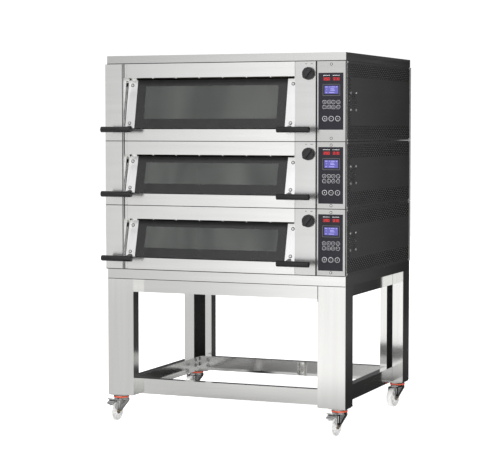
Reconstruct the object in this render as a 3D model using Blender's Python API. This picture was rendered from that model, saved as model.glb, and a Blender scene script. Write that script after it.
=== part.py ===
"""A three-deck electric bakery oven on an open stand with four castors.

Metres, +Z up. The oven's front faces -Y and its controls are on the +X side. The origin is on
the floor, under the middle of the whole oven. In this file a depth is measured backwards from
the front face of the decks, and FACE_Y turns it into a world Y.
"""

import math

import bmesh
import bpy

# Heights, from the floor up
CASTOR_HEIGHT = 0.1317
FOOT_PLATE = 0.004
LEG_BOTTOM = 0.136
LEG_HEIGHT = 0.579
BAND_HEIGHT = 0.050
LOWER_DECK_HEIGHT = 0.316
TOP_DECK_HEIGHT = 0.378
COVER_HEIGHT = 0.040
BAND_Z = LEG_BOTTOM + LEG_HEIGHT
DECKS_Z = BAND_Z + BAND_HEIGHT
COVER_Z = DECKS_Z + 2 * LOWER_DECK_HEIGHT + TOP_DECK_HEIGHT

# Widths and depths
DECK_HALF = 0.627
STAND_HALF = 0.625
COVER_HALF = 0.624
DECK_DEPTH = 1.045
STAND_FRONT = 0.015
STAND_REAR = 1.040

# Sheet metal
SHEET = 0.0015
SEAM = 0.0025
GAP = 0.0003
FRONT_RETURN = 0.090
EDGE_FOLD = 0.020
PLATE_FOLD = 0.008
PANEL_FOLD = 0.010
POST_FOLD = 0.022

# The front of a deck, from left to right
PILLAR_RIGHT = -0.526
TRIM_LEFT = -0.5225
TRIM_RIGHT = -0.5115
SURROUND_LEFT = -0.508
SURROUND_RIGHT = 0.3745
FASCIA_LEFT = 0.3755
FASCIA_RIGHT = 0.479
PLATE_LEFT = 0.486
TRIM_RECESS = 0.003
GROOVE_DEPTH = 0.012
SILL_HEIGHT = 0.058

# Door, hung from pins at its top corners
DOOR_X = -0.073
DOOR_HALF = 0.446
STRIP_WIDTH = 0.050
DOOR_LEAN = 0.047
DOOR_TOP_GAP = 0.010
DOOR_BOTTOM_GAP = 0.0045
PIVOT_DROP = 0.007
PIVOT_BACK = 0.014
STILE_THICKNESS = 0.008
GLASS_THICKNESS = 0.005
GLASS_SETBACK = 0.0006
RAIL_THICKNESS = 0.0048
WINDOW_HALF = 0.350
WINDOW_BOTTOM = 0.047
WINDOW_TOP = 0.030
LUG_WIDTH = 0.020
LUG_BACK = 0.005
LUG_DROP = 0.007
PIN_RADIUS = 0.004
PIN_HOLE_RADIUS = 0.0046
PIN_REACH = 0.011
JAMB_FACE = -0.001
JAMB_SETBACK = 0.0115
JAMB_STEP = 0.022

# Handles
HANDLE_X = 0.4625
GRIP_LENGTH = 0.163
GRIP_RADIUS = 0.014
GRIP_STANDOFF = 0.065
GRIP_DROP = 0.0015
GRIP_EDGE = 0.002
ARM_WIDTH = 0.014
ARM_HEIGHT = 0.012

# Baking chamber
CHAMBER_HALF = 0.423
CHAMBER_FRONT = 0.0925
CHAMBER_REAR = 0.812
MOUTH_HALF = 0.417
FLOOR_DROP = 0.040
ROOF_RISE = 0.012
STONE_THICKNESS = 0.018
LEDGE_WIDTH = 0.012

# Controls
KNOB_X = 0.444
KNOB_DROP = 0.058
KNOB_RADIUS = 0.030
KNOB_GAP = 0.0008
KNOB_HEIGHT = 0.0165
BAR_HEIGHT = 0.026
BAR_TILT = math.radians(50)
SHAFT_RADIUS = 0.004
SHAFT_HOLE_RADIUS = 0.006
SHAFT_LENGTH = 0.150
KEYPAD_LEFT = 0.493
KEYPAD_RIGHT = 0.616
KEYPAD_HEIGHT = 0.266
KEYPAD_THICKNESS = 0.0012
PANEL_FRONT = 0.0240
PANEL_REAR = 1.0205
POST_FRONT = 0.0095

# Stand
LEG_WIDTH = 0.140
LEG_DEPTH = 0.108
LEG_RETURN = 0.060
LEG_LIP = 0.037
RAIL_INSET_X = 0.057
UPPER_RAIL_HEIGHT = 0.070
LOWER_RAIL_HEIGHT = 0.076
RAIL_FLANGE = 0.038

# Castors
SWIVEL_X = 0.579
SWIVEL_INSET = 0.052
SWIVEL_TURN = math.radians(12)
TRAIL = 0.047
WHEEL_RADIUS = 0.050
WHEEL_HALF = 0.015
CHEEK_INNER = 0.0185
CHEEK_OUTER = 0.0210
AXLE_RADIUS = 0.005
FORK_TOP = 0.107
PEDAL_PIVOT = (0.056, 0.1045)

SEGMENTS = 32
HALF_TURN = math.pi
FULL_TURN = 2 * math.pi

FACE_Y = -(DECK_DEPTH - GRIP_STANDOFF - GRIP_RADIUS) / 2

# Finish: colour, roughness, metallic
STAINLESS = ((0.72, 0.72, 0.71), 0.30, 1.0)
GALVANISED = ((0.55, 0.56, 0.57), 0.45, 1.0)
GRAPHITE = ((0.045, 0.045, 0.047), 0.50, 0.3)
STONE = ((0.62, 0.57, 0.48), 0.90, 0.0)
GLASS = ((0.14, 0.15, 0.15), 0.05, 0.0)
BLACK_PLASTIC = ((0.02, 0.02, 0.021), 0.35, 0.0)
KNOB_PLASTIC = ((0.055, 0.055, 0.058), 0.45, 0.0)
MEMBRANE = ((0.035, 0.033, 0.05), 0.30, 0.0)
CHROME = ((0.80, 0.80, 0.80), 0.12, 1.0)
NYLON = ((0.88, 0.88, 0.87), 0.40, 0.0)


# Shapes. Each returns a function that adds one closed shell to a bmesh.


def box(x0, x1, y0, y1, z0, z1):
    def add(bm):
        corners = [bm.verts.new((x, y, z)) for x in (x0, x1) for y in (y0, y1) for z in (z0, z1)]
        for face in ((0, 1, 3, 2), (4, 6, 7, 5), (0, 4, 5, 1), (2, 3, 7, 6), (0, 2, 6, 4), (1, 5, 7, 3)):
            bm.faces.new([corners[i] for i in face])

    return add


def deck_box(x0, x1, depth0, depth1, z0, z1):
    """A box whose depths are measured from the front face of the decks."""
    return box(x0, x1, FACE_Y + depth0, FACE_Y + depth1, z0, z1)


def rings(bm, loops, closed):
    """Joins loops of points into one shell, with end caps unless the last loop meets the first."""
    made = [[bm.verts.new(point) for point in loop] for loop in loops]
    pairs = list(zip(made, made[1:]))
    if closed:
        pairs.append((made[-1], made[0]))
    else:
        bm.faces.new(made[0][::-1])
        bm.faces.new(made[-1])
    for low, high in pairs:
        for i in range(len(low)):
            j = (i + 1) % len(low)
            bm.faces.new((low[i], low[j], high[j], high[i]))


def placed(axis, u, v, along):
    """A point from its place across an axis and along it."""
    return {"x": (along, u, v), "y": (u, along, v), "z": (u, v, along)}[axis]


def prism(axis, outline, low, high):
    """An outline in the plane across an axis, extruded along that axis."""

    def add(bm):
        rings(bm, [[placed(axis, u, v, along) for u, v in outline] for along in (low, high)], False)

    return add


def turned(axis, centre, profile, closed=False, segments=SEGMENTS):
    """A profile of (radius, place along the axis) turned round the axis at centre, a flat side down."""
    turns = [FULL_TURN * (i + 0.5) / segments - HALF_TURN / 2 for i in range(segments)]

    def add(bm):
        loops = []
        for radius, along in profile:
            loops.append(
                [
                    placed(axis, centre[0] + radius * math.cos(t), centre[1] + radius * math.sin(t), along)
                    for t in turns
                ]
            )
        rings(bm, loops, closed)

    return add


def rod(axis, centre, radius, low, high, segments=16):
    return turned(axis, centre, [(radius, low), (radius, high)], False, segments)


# Objects


def shell_mesh(name, shapes):
    bm = bmesh.new()
    for add in shapes:
        shell = bmesh.new()
        add(shell)
        bmesh.ops.recalc_face_normals(shell, faces=shell.faces)
        part = bpy.data.meshes.new(name)
        shell.to_mesh(part)
        shell.free()
        bm.from_mesh(part)
        bpy.data.meshes.remove(part)
    mesh = bpy.data.meshes.new(name)
    bm.to_mesh(mesh)
    bm.free()
    return mesh


def add_boolean(obj, operation, shapes):
    helper = bpy.data.objects.new(obj.name + "_" + operation.lower(), shell_mesh(obj.name, shapes))
    helper.hide_render = True
    helper.display_type = "WIRE"
    bpy.context.collection.objects.link(helper)
    modifier = obj.modifiers.new(operation, "BOOLEAN")
    modifier.operation = operation
    modifier.use_self = True
    modifier.object = helper
    return helper


def principled(name, finish):
    colour, roughness, metallic = finish
    material = bpy.data.materials.new(name)
    material.use_nodes = True
    shader = material.node_tree.nodes["Principled BSDF"]
    shader.inputs["Base Color"].default_value = (*colour, 1.0)
    shader.inputs["Roughness"].default_value = roughness
    shader.inputs["Metallic"].default_value = metallic
    return material


def node(name, finish, shapes, cuts=(), location=(0, 0, 0), rotation=(0, 0, 0)):
    """One sub-part: the shapes fused into one solid, less the cuts, then moved to its place."""
    obj = bpy.data.objects.new(name, shell_mesh(name, shapes[:1]))
    bpy.context.collection.objects.link(obj)
    helpers = []
    if len(shapes) > 1:
        helpers.append(add_boolean(obj, "UNION", shapes[1:]))
    if cuts:
        helpers.append(add_boolean(obj, "DIFFERENCE", cuts))
    if helpers:
        graph = bpy.context.evaluated_depsgraph_get()
        solid = bpy.data.meshes.new_from_object(obj.evaluated_get(graph))
        obj.modifiers.clear()
        obj.data = solid
        for helper in helpers:
            bpy.data.objects.remove(helper)
    tidy(obj.data)
    obj.data.materials.clear()
    obj.data.materials.append(principled(name, finish))
    obj.location = location
    obj.rotation_euler = rotation
    return obj


def tidy(mesh):
    """Merges coplanar faces, and shades round ones smooth."""
    bm = bmesh.new()
    bm.from_mesh(mesh)
    bmesh.ops.dissolve_limit(bm, angle_limit=math.radians(0.1), verts=bm.verts, edges=bm.edges)
    bm.to_mesh(mesh)
    bm.free()
    mesh.shade_smooth()
    mesh.set_sharp_from_angle(angle=math.radians(35))


# A deck


class Deck:
    """The levels and the door's lean of one deck, worked out from its base and height."""

    def __init__(self, name, base, height, header):
        self.name = name
        self.low = base + SEAM / 2
        self.high = base + height - SEAM / 2
        self.sill = base + SILL_HEIGHT
        self.header = base + height - header
        self.knob_z = base + height - KNOB_DROP
        door_rise = self.header - DOOR_TOP_GAP - (self.sill + DOOR_BOTTOM_GAP)
        self.lean = math.atan2(DOOR_LEAN, door_rise)
        self.door_length = math.hypot(DOOR_LEAN, door_rise)
        self.door_top = PIVOT_DROP
        self.door_bottom = PIVOT_DROP - self.door_length
        across = PIVOT_BACK * math.cos(self.lean) - PIVOT_DROP * math.sin(self.lean)
        down = PIVOT_BACK * math.sin(self.lean) + PIVOT_DROP * math.cos(self.lean)
        self.pivot_y = FACE_Y + DOOR_LEAN + across
        self.pivot_z = self.header - DOOR_TOP_GAP - down

    def to_door(self, y, z):
        """A world (y, z) as a place in the closed door's own frame, whose origin is the pivot."""
        back, up = y - self.pivot_y, z - self.pivot_z
        cos, sin = math.cos(self.lean), math.sin(self.lean)
        return back * cos - up * sin, back * sin + up * cos

    def behind(self, distance, z):
        """The world y, at a height, of the plane parallel to the door and this far behind its pivot."""
        return self.pivot_y + (distance + (z - self.pivot_z) * math.sin(self.lean)) / math.cos(self.lean)

    def door_node(self, name, finish, shapes, cuts=()):
        return node(
            name + "_" + self.name,
            finish,
            shapes,
            cuts,
            (DOOR_X, self.pivot_y, self.pivot_z),
            (-self.lean, 0, 0),
        )


def pin_hole(deck, x):
    """A cut round the door's pin, through a sheet that stands across it."""
    return rod("x", (deck.pivot_y, deck.pivot_z), PIN_HOLE_RADIUS, x - PIN_REACH, x + PIN_REACH)


def make_casing(deck):
    """Left side, pillar, rear, base and roof, with a post at each right-hand corner."""
    low, high = deck.low, deck.high
    plates = ((low, low + SHEET), (high - SHEET, high))
    shapes = [deck_box(-DECK_HALF, -DECK_HALF + SHEET, 0, DECK_DEPTH, low, high)]
    shapes.append(deck_box(-DECK_HALF, PILLAR_RIGHT, 0, SHEET, low, high))
    shapes.append(deck_box(PILLAR_RIGHT - SHEET, PILLAR_RIGHT, 0, FRONT_RETURN, low, high))
    shapes.append(deck_box(-DECK_HALF, DECK_HALF, DECK_DEPTH - SHEET, DECK_DEPTH, low, high))
    shapes.append(deck_box(DECK_HALF - SHEET, DECK_HALF, PANEL_REAR + GAP, DECK_DEPTH, low, high))
    shapes.append(deck_box(DECK_HALF - SHEET, DECK_HALF, POST_FRONT, PANEL_FRONT - GAP, low, high))
    post_back = PANEL_FRONT - GAP
    shapes.append(deck_box(DECK_HALF - POST_FOLD, DECK_HALF, post_back - SHEET, post_back, low, high))
    for z0, z1 in plates:
        shapes.append(deck_box(-DECK_HALF, DECK_HALF, CHAMBER_FRONT, DECK_DEPTH, z0, z1))
        shapes.append(deck_box(PLATE_LEFT, DECK_HALF, post_back - SHEET, CHAMBER_FRONT + SHEET, z0, z1))
    node("casing_" + deck.name, STAINLESS, shapes, [pin_hole(deck, PILLAR_RIGHT)])


def make_chamber(deck):
    """A liner open at the front, with a lip above and below its mouth and a ledge on each side."""
    left, right = DOOR_X - CHAMBER_HALF, DOOR_X + CHAMBER_HALF
    floor, roof = deck.sill - FLOOR_DROP, deck.header + ROOF_RISE
    front, rear = CHAMBER_FRONT, CHAMBER_REAR
    lip = front + SHEET
    shapes = [deck_box(left - SHEET, right + SHEET, front, rear, floor - SHEET, floor)]
    shapes.append(deck_box(left - SHEET, right + SHEET, front, rear, roof, roof + SHEET))
    shapes.append(deck_box(left - SHEET, left, front, rear, floor - SHEET, roof + SHEET))
    shapes.append(deck_box(right, right + SHEET, front, rear, floor - SHEET, roof + SHEET))
    shapes.append(deck_box(left - SHEET, right + SHEET, rear - SHEET, rear, floor - SHEET, roof + SHEET))
    shapes.append(deck_box(left - SHEET, right + SHEET, front, lip, floor - SHEET, deck.sill))
    shapes.append(deck_box(left - SHEET, right + SHEET, front, lip, deck.header, roof + SHEET))
    ledge_top = deck.sill - STONE_THICKNESS - 0.001 - GAP
    for x0, x1 in ((left - SHEET, left + LEDGE_WIDTH), (right - LEDGE_WIDTH, right + SHEET)):
        shapes.append(deck_box(x0, x1, front, rear, ledge_top - 2 * SHEET, ledge_top))
    node("chamber_" + deck.name, GALVANISED, shapes)


def make_stone(deck):
    half = CHAMBER_HALF - 0.0015
    top = deck.sill - 0.001
    slab = deck_box(
        DOOR_X - half,
        DOOR_X + half,
        CHAMBER_FRONT + SHEET + 0.001,
        CHAMBER_REAR - SHEET - 0.001,
        top - STONE_THICKNESS,
        top,
    )
    node("stone_floor_" + deck.name, STONE, [slab])


def jamb(deck, x0, x1):
    """A post behind the door's edge, leaning with the door and cut back clear of its pin lugs."""
    near, far = JAMB_FACE, JAMB_SETBACK
    step = deck.pivot_z - JAMB_STEP
    overlap = SHEET / 2
    z_low, z_high = deck.sill - overlap, deck.header + overlap
    back = FACE_Y + FRONT_RETURN
    outline = [
        (deck.behind(near, z_low), z_low),
        (back, z_low),
        (back, z_high),
        (deck.behind(far, z_high), z_high),
        (deck.behind(far, step), step),
        (deck.behind(near, step), step),
    ]
    return prism("x", outline, x0, x1)


def make_surround(deck):
    """Header, sill and the jambs that join them, with a grooved trim strip down the left."""
    shapes = []
    for z0, z1 in ((deck.low, deck.sill), (deck.header, deck.high)):
        shapes.append(deck_box(SURROUND_LEFT, SURROUND_RIGHT, 0, SHEET, z0, z1))
        shapes.append(deck_box(SURROUND_LEFT, SURROUND_LEFT + SHEET, 0, GROOVE_DEPTH, z0, z1))
        shapes.append(
            deck_box(TRIM_LEFT, SURROUND_LEFT + SHEET, GROOVE_DEPTH - SHEET, GROOVE_DEPTH, z0, z1)
        )
        shapes.append(deck_box(TRIM_LEFT, TRIM_RIGHT, TRIM_RECESS, GROOVE_DEPTH, z0, z1))
    for z0, z1 in ((deck.sill - SHEET, deck.sill), (deck.header, deck.header + SHEET)):
        shapes.append(deck_box(SURROUND_LEFT, SURROUND_RIGHT, 0, FRONT_RETURN, z0, z1))
        shapes.append(deck_box(TRIM_LEFT, SURROUND_LEFT + SHEET, TRIM_RECESS, FRONT_RETURN, z0, z1))
    shapes.append(jamb(deck, TRIM_LEFT, DOOR_X - MOUTH_HALF))
    shapes.append(jamb(deck, DOOR_X + MOUTH_HALF, SURROUND_RIGHT))
    node("front_surround_" + deck.name, STAINLESS, shapes)


def make_fascia(deck):
    """The plate between the door and the controls, folded back on both sides."""
    low, high = deck.low, deck.high
    shapes = [deck_box(FASCIA_LEFT, FASCIA_RIGHT, 0, SHEET, low, high)]
    shapes.append(deck_box(FASCIA_LEFT, FASCIA_LEFT + SHEET, 0, FRONT_RETURN, low, high))
    shapes.append(deck_box(FASCIA_RIGHT - SHEET, FASCIA_RIGHT, 0, EDGE_FOLD, low, high))
    shaft_hole = rod("y", (KNOB_X, deck.knob_z), SHAFT_HOLE_RADIUS, FACE_Y - SHEET, FACE_Y + 2 * SHEET)
    node("right_fascia_" + deck.name, STAINLESS, shapes, [shaft_hole, pin_hole(deck, FASCIA_LEFT)])


def make_control_plate(deck):
    low, high = deck.low, deck.high
    shapes = [deck_box(PLATE_LEFT, DECK_HALF, 0, SHEET, low, high)]
    shapes.append(deck_box(PLATE_LEFT, PLATE_LEFT + SHEET, 0, EDGE_FOLD, low, high))
    shapes.append(deck_box(DECK_HALF - SHEET, DECK_HALF, 0, PLATE_FOLD, low, high))
    node("control_plate_" + deck.name, STAINLESS, shapes)


def make_keypad(deck):
    middle = (deck.low + deck.high) / 2
    half = KEYPAD_HEIGHT / 2
    front = -GAP - KEYPAD_THICKNESS
    pad = deck_box(KEYPAD_LEFT, KEYPAD_RIGHT, front, -GAP, middle - half, middle + half)
    node("keypad_" + deck.name, MEMBRANE, [pad])


def make_side_panel(deck):
    """A removable pan with its edges folded in."""
    z0, z1 = deck.low + SHEET + GAP, deck.high - SHEET - GAP
    outer, inner = DECK_HALF, DECK_HALF - SHEET
    y0, y1 = PANEL_FRONT, PANEL_REAR
    shapes = [deck_box(inner, outer, y0, y1, z0, z1)]
    edges = [(y0, y0 + SHEET, z0, z1), (y1 - SHEET, y1, z0, z1)]
    edges += [(y0, y1, z0, z0 + SHEET), (y0, y1, z1 - SHEET, z1)]
    for edge in edges:
        shapes.append(deck_box(inner - PANEL_FOLD, outer, *edge))
    node("right_side_panel_" + deck.name, GRAPHITE, shapes)


def make_door_frame(deck):
    """Edge strips, the rails behind the glass and the pins that the door hangs from."""
    front = -PIVOT_BACK
    back = front + STILE_THICKNESS
    rail_front = front + GLASS_SETBACK + GLASS_THICKNESS + 2 * GAP
    rail_back = rail_front + RAIL_THICKNESS
    top, bottom = deck.door_top, deck.door_bottom
    inner = DOOR_HALF - STRIP_WIDTH
    window_low, window_high = bottom + WINDOW_BOTTOM, top - WINDOW_TOP
    shapes = []
    for side in (-1, 1):
        outer_x, inner_x = side * DOOR_HALF, side * inner
        shapes.append(box(*sorted((outer_x, inner_x)), front, back, bottom, top))
        window_x = side * WINDOW_HALF
        shapes.append(box(*sorted((outer_x, window_x)), rail_front, rail_back, bottom, top))
        lug_x = side * (DOOR_HALF - LUG_WIDTH)
        shapes.append(box(*sorted((outer_x, lug_x)), rail_front, LUG_BACK, -LUG_DROP, top))
        pin_end = side * (DOOR_HALF + PIN_REACH)
        shapes.append(rod("x", (0, 0), PIN_RADIUS, *sorted((lug_x, pin_end))))
    shapes.append(box(-DOOR_HALF, DOOR_HALF, rail_front, rail_back, bottom, window_low))
    shapes.append(box(-DOOR_HALF, DOOR_HALF, rail_front, rail_back, window_high, top))
    deck.door_node("door_frame", STAINLESS, shapes)


def make_door_glass(deck):
    half = DOOR_HALF - STRIP_WIDTH - 2 * GAP
    front = -PIVOT_BACK + GLASS_SETBACK
    pane = box(-half, half, front, front + GLASS_THICKNESS, deck.door_bottom, deck.door_top)
    deck.door_node("door_glass", GLASS, [pane])


def make_handle(deck, side, name):
    """A round grip beside the door's edge, on an arm that meets the foot of the edge strip."""
    grip_x = side * HANDLE_X
    arm_x = side * (DOOR_HALF - STRIP_WIDTH / 2)
    grip_y, grip_z = deck.to_door(FACE_Y - GRIP_STANDOFF, deck.sill - GRIP_DROP)
    half = GRIP_LENGTH / 2
    profile = [
        (GRIP_RADIUS - GRIP_EDGE, grip_x - half),
        (GRIP_RADIUS, grip_x - half + GRIP_EDGE),
        (GRIP_RADIUS, grip_x + half - GRIP_EDGE),
        (GRIP_RADIUS - GRIP_EDGE, grip_x + half),
    ]
    face = -PIVOT_BACK - GAP
    root = deck.door_bottom + 0.002
    outline = [(face, root), (face, root + ARM_HEIGHT)]
    outline += [(grip_y, grip_z + ARM_HEIGHT - 0.003), (grip_y, grip_z - 0.003)]
    grip = turned("x", (grip_y, grip_z), profile, segments=24)
    arm = prism("x", outline, arm_x - ARM_WIDTH / 2, arm_x + ARM_WIDTH / 2)
    deck.door_node(name, BLACK_PLASTIC, [grip, arm])


def make_knob(deck):
    """A damper knob with a grip bar, its shaft and the shutter that it turns."""
    face, chamfer = -KNOB_GAP, 0.0015
    body = [(KNOB_RADIUS - chamfer, face), (KNOB_RADIUS, face - chamfer)]
    front = face - KNOB_HEIGHT
    body += [(KNOB_RADIUS, front + 3 * chamfer), (KNOB_RADIUS - 2 * chamfer, front + chamfer)]
    body += [(KNOB_RADIUS / 3, front)]
    length, width = KNOB_RADIUS - 0.002, 0.0065
    along, across = (math.cos(BAR_TILT), math.sin(BAR_TILT)), (-math.sin(BAR_TILT), math.cos(BAR_TILT))
    bar = [
        (a * length * along[0] + b * width * across[0], a * length * along[1] + b * width * across[1])
        for a, b in ((-1, -1), (1, -1), (1, 1), (-1, 1))
    ]
    shapes = [turned("y", (0, 0), body)]
    shapes.append(prism("y", bar, face - BAR_HEIGHT, face - KNOB_HEIGHT / 2))
    shapes.append(rod("y", (0, 0), SHAFT_RADIUS, face - KNOB_HEIGHT / 2, SHAFT_LENGTH))
    shapes.append(box(-0.022, 0.022, SHAFT_LENGTH - 0.004, SHAFT_LENGTH - 0.002, -0.015, 0.015))
    node("damper_knob_" + deck.name, KNOB_PLASTIC, shapes, location=(KNOB_X, FACE_Y, deck.knob_z))


def make_deck(name, base, height, header):
    deck = Deck(name, base, height, header)
    make_casing(deck)
    make_chamber(deck)
    make_stone(deck)
    make_surround(deck)
    make_fascia(deck)
    make_control_plate(deck)
    make_keypad(deck)
    make_side_panel(deck)
    make_door_frame(deck)
    make_door_glass(deck)
    make_handle(deck, -1, "left_handle")
    make_handle(deck, 1, "right_handle")
    make_knob(deck)


# Cover and stand


def make_cover():
    """A shallow pan, open underneath."""
    z0, z1 = COVER_Z + GAP, COVER_Z + COVER_HEIGHT
    half = COVER_HALF
    shapes = [deck_box(-half, half, STAND_FRONT, STAND_REAR, z1 - SHEET, z1)]
    shapes.append(deck_box(-half, half, STAND_FRONT, STAND_FRONT + SHEET, z0, z1))
    shapes.append(deck_box(-half, half, STAND_REAR - SHEET, STAND_REAR, z0, z1))
    shapes.append(deck_box(-half, -half + SHEET, STAND_FRONT, STAND_REAR, z0, z1))
    shapes.append(deck_box(half - SHEET, half, STAND_FRONT, STAND_REAR, z0, z1))
    node("top_cover", STAINLESS, shapes)


def ring(half, front, rear, thickness, z0, z1):
    """Four walls round a rectangle, thickness measured inwards."""
    shapes = [deck_box(-half, half, front, front + thickness, z0, z1)]
    shapes.append(deck_box(-half, half, rear - thickness, rear, z0, z1))
    shapes.append(deck_box(-half, -half + thickness, front, rear, z0, z1))
    shapes.append(deck_box(half - thickness, half, front, rear, z0, z1))
    return shapes


def rail_ring(z0, z1):
    """The webs of a ring of channels that open inwards, with their flanges."""
    half = STAND_HALF - RAIL_INSET_X - GAP
    front = STAND_FRONT + LEG_RETURN + GAP
    rear = STAND_REAR - LEG_RETURN - GAP
    shapes = ring(half, front, rear, SHEET, z0, z1)
    shapes += ring(half, front, rear, RAIL_FLANGE, z0, z0 + SHEET)
    return shapes, (half, front, rear)


def make_top_frame():
    """The band under the decks, with the recessed upper rails welded to its top plate."""
    top = DECKS_Z
    shapes = ring(STAND_HALF, STAND_FRONT, STAND_REAR, SHEET, BAND_Z, top)
    plate = LEG_RETURN + RAIL_FLANGE
    shapes += ring(STAND_HALF, STAND_FRONT, STAND_REAR, plate, top - SHEET, top)
    rails, _ = rail_ring(BAND_Z - UPPER_RAIL_HEIGHT, top)
    node("stand_top_frame", STAINLESS, shapes + rails)


def make_lower_frame():
    z0 = LEG_BOTTOM + GAP
    z1 = LEG_BOTTOM + LOWER_RAIL_HEIGHT
    shapes, (half, front, rear) = rail_ring(z0, z1)
    shapes += ring(half, front, rear, RAIL_FLANGE, z1 - SHEET, z1)
    node("lower_frame", STAINLESS, shapes)


def make_leg(name, side, at_rear):
    """A folded sheet leg on a foot plate. Its own x runs inwards and its y away from the front or rear."""
    edge = STAND_REAR if at_rear else STAND_FRONT
    inward = -1 if at_rear else 1

    def wall(x0, x1, y0, y1, z0, z1):
        xs = sorted((side * (STAND_HALF - x0), side * (STAND_HALF - x1)))
        ys = sorted((edge + inward * y0, edge + inward * y1))
        return deck_box(*xs, *ys, z0, z1)

    z0, z1 = LEG_BOTTOM - SHEET, BAND_Z - GAP
    shapes = [wall(0, LEG_WIDTH, 0, SHEET, z0, z1)]
    shapes.append(wall(0, SHEET, 0, LEG_DEPTH, z0, z1))
    shapes.append(wall(0, RAIL_INSET_X, LEG_DEPTH - SHEET, LEG_DEPTH, z0, z1))
    shapes.append(wall(LEG_WIDTH - SHEET, LEG_WIDTH, 0, LEG_RETURN, z0, z1))
    shapes.append(wall(LEG_WIDTH - LEG_LIP, LEG_WIDTH, LEG_RETURN - SHEET, LEG_RETURN, z0, z1))
    foot_x, foot_y = LEG_WIDTH - 0.006, LEG_DEPTH + 0.010
    shapes.append(wall(0.001, foot_x, 0.003, foot_y, LEG_BOTTOM - FOOT_PLATE, LEG_BOTTOM))
    node(name, STAINLESS, shapes)


# Castors. Each is made with its swivel axis on its own Z axis and its wheel trailing towards -Y.


def make_housing(name, place):
    """Top plate, swivel ring and the pin that carries the fork."""
    plate = box(-0.042, 0.042, -0.040, 0.050, 0.128, CASTOR_HEIGHT)
    profile = [(0.010, 0.0965), (0.010, 0.1035), (0.006, 0.1035), (0.006, 0.110), (0.034, 0.110)]
    profile += [(0.037, 0.1115), (0.037, 0.1200), (0.034, 0.1210), (0.031, 0.1290)]
    node(name, CHROME, [plate, turned("z", (0, 0), profile, segments=24)], location=place)


def make_fork(name, place):
    """Crown, two cheeks and the axle bolt between them."""
    boss, heel, toe = 0.013, 0.036, -0.060
    arc = [math.radians(a) for a in (200, 230, 260, 290, 320, 345)]
    cheek = [(heel, FORK_TOP), (toe, FORK_TOP), (toe, 0.095)]
    cheek += [(-TRAIL + boss * math.cos(a), WHEEL_RADIUS + boss * math.sin(a)) for a in arc]
    cheek += [(heel, 0.094)]
    crown_front = -0.048
    shapes = [box(-CHEEK_OUTER, CHEEK_OUTER, crown_front, heel, FORK_TOP - 0.003, FORK_TOP)]
    shapes.append(rod("z", (0, 0), 0.036, FORK_TOP - 0.003, FORK_TOP + 0.0025, 24))
    for side in (-1, 1):
        shapes.append(prism("x", cheek, *sorted((side * CHEEK_INNER, side * CHEEK_OUTER))))
    shapes.append(rod("x", (-TRAIL, WHEEL_RADIUS), AXLE_RADIUS, -0.022, 0.022))
    for side in (-1, 1):
        ends = sorted((side * (CHEEK_OUTER - 0.001), side * (CHEEK_OUTER + 0.004)))
        shapes.append(rod("x", (-TRAIL, WHEEL_RADIUS), 0.008, *ends, 6))
    hole = rod("z", (0, 0), 0.0066, FORK_TOP - 0.01, FORK_TOP + 0.01)
    node(name, CHROME, shapes, [hole], place, (0, 0, -SWIVEL_TURN))


def trailed(place, trail, height):
    """The world place of a point in front of a swivel axis, at the castors' rest turn."""
    x = place[0] - trail * math.sin(SWIVEL_TURN)
    y = place[1] - trail * math.cos(SWIVEL_TURN)
    return x, y, height


def make_wheel(name, place):
    """A nylon wheel with a hub, a dished web and a rounded tread that stands on a flat side."""
    bore, hub, half = AXLE_RADIUS + 0.0005, 0.014, WHEEL_HALF
    radius, web = WHEEL_RADIUS / math.cos(HALF_TURN / SEGMENTS), 0.006
    right = [(bore, half), (hub, half), (hub + 0.002, web), (0.036, web), (0.039, half - 0.001)]
    right += [(radius - 0.004, half - 0.002), (radius - 0.001, half - 0.006), (radius, 0.004)]
    left = [(r, -along) for r, along in reversed(right)]
    wheel = turned("x", (0, 0), right + left, closed=True)
    node(name, NYLON, [wheel], location=trailed(place, TRAIL, WHEEL_RADIUS), rotation=(0, 0, -SWIVEL_TURN))


def make_pedal(name, place):
    """A two-toed brake pedal on a bar between the fork's cheeks."""
    trail, height = PEDAL_PIVOT
    outline = [(0.0505, 0.1022), (0.0505, 0.1070), (0.064, 0.1070), (0.084, 0.1140), (0.085, 0.1110)]
    outline += [(0.070, 0.1035), (0.092, 0.0905), (0.090, 0.0875), (0.064, 0.1010)]
    points = [(trail - t, z - height) for t, z in outline]
    plate = prism("x", points, -0.0165, 0.0165)
    node(name, CHROME, [plate], location=trailed(place, trail, height), rotation=(0, 0, -SWIVEL_TURN))


def make_corner(corner, side, at_rear):
    make_leg("leg_" + corner, side, at_rear)
    depth = STAND_REAR - SWIVEL_INSET if at_rear else STAND_FRONT + SWIVEL_INSET
    place = (side * SWIVEL_X, FACE_Y + depth, 0)
    make_housing("castor_housing_" + corner, place)
    make_fork("castor_fork_" + corner, place)
    make_wheel("castor_wheel_" + corner, place)
    if not at_rear:
        make_pedal("brake_pedal_" + corner, place)


def main():
    for obj in list(bpy.data.objects):
        bpy.data.objects.remove(obj)
    make_deck("bottom", DECKS_Z, LOWER_DECK_HEIGHT, 0.066)
    make_deck("middle", DECKS_Z + LOWER_DECK_HEIGHT, LOWER_DECK_HEIGHT, 0.066)
    make_deck("top", DECKS_Z + 2 * LOWER_DECK_HEIGHT, TOP_DECK_HEIGHT, 0.070)
    make_cover()
    make_top_frame()
    make_lower_frame()
    make_corner("front_left", -1, False)
    make_corner("front_right", 1, False)
    make_corner("rear_left", -1, True)
    make_corner("rear_right", 1, True)


main()
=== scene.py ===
import math

import bmesh
import bpy
from mathutils import Matrix, Vector


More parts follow.
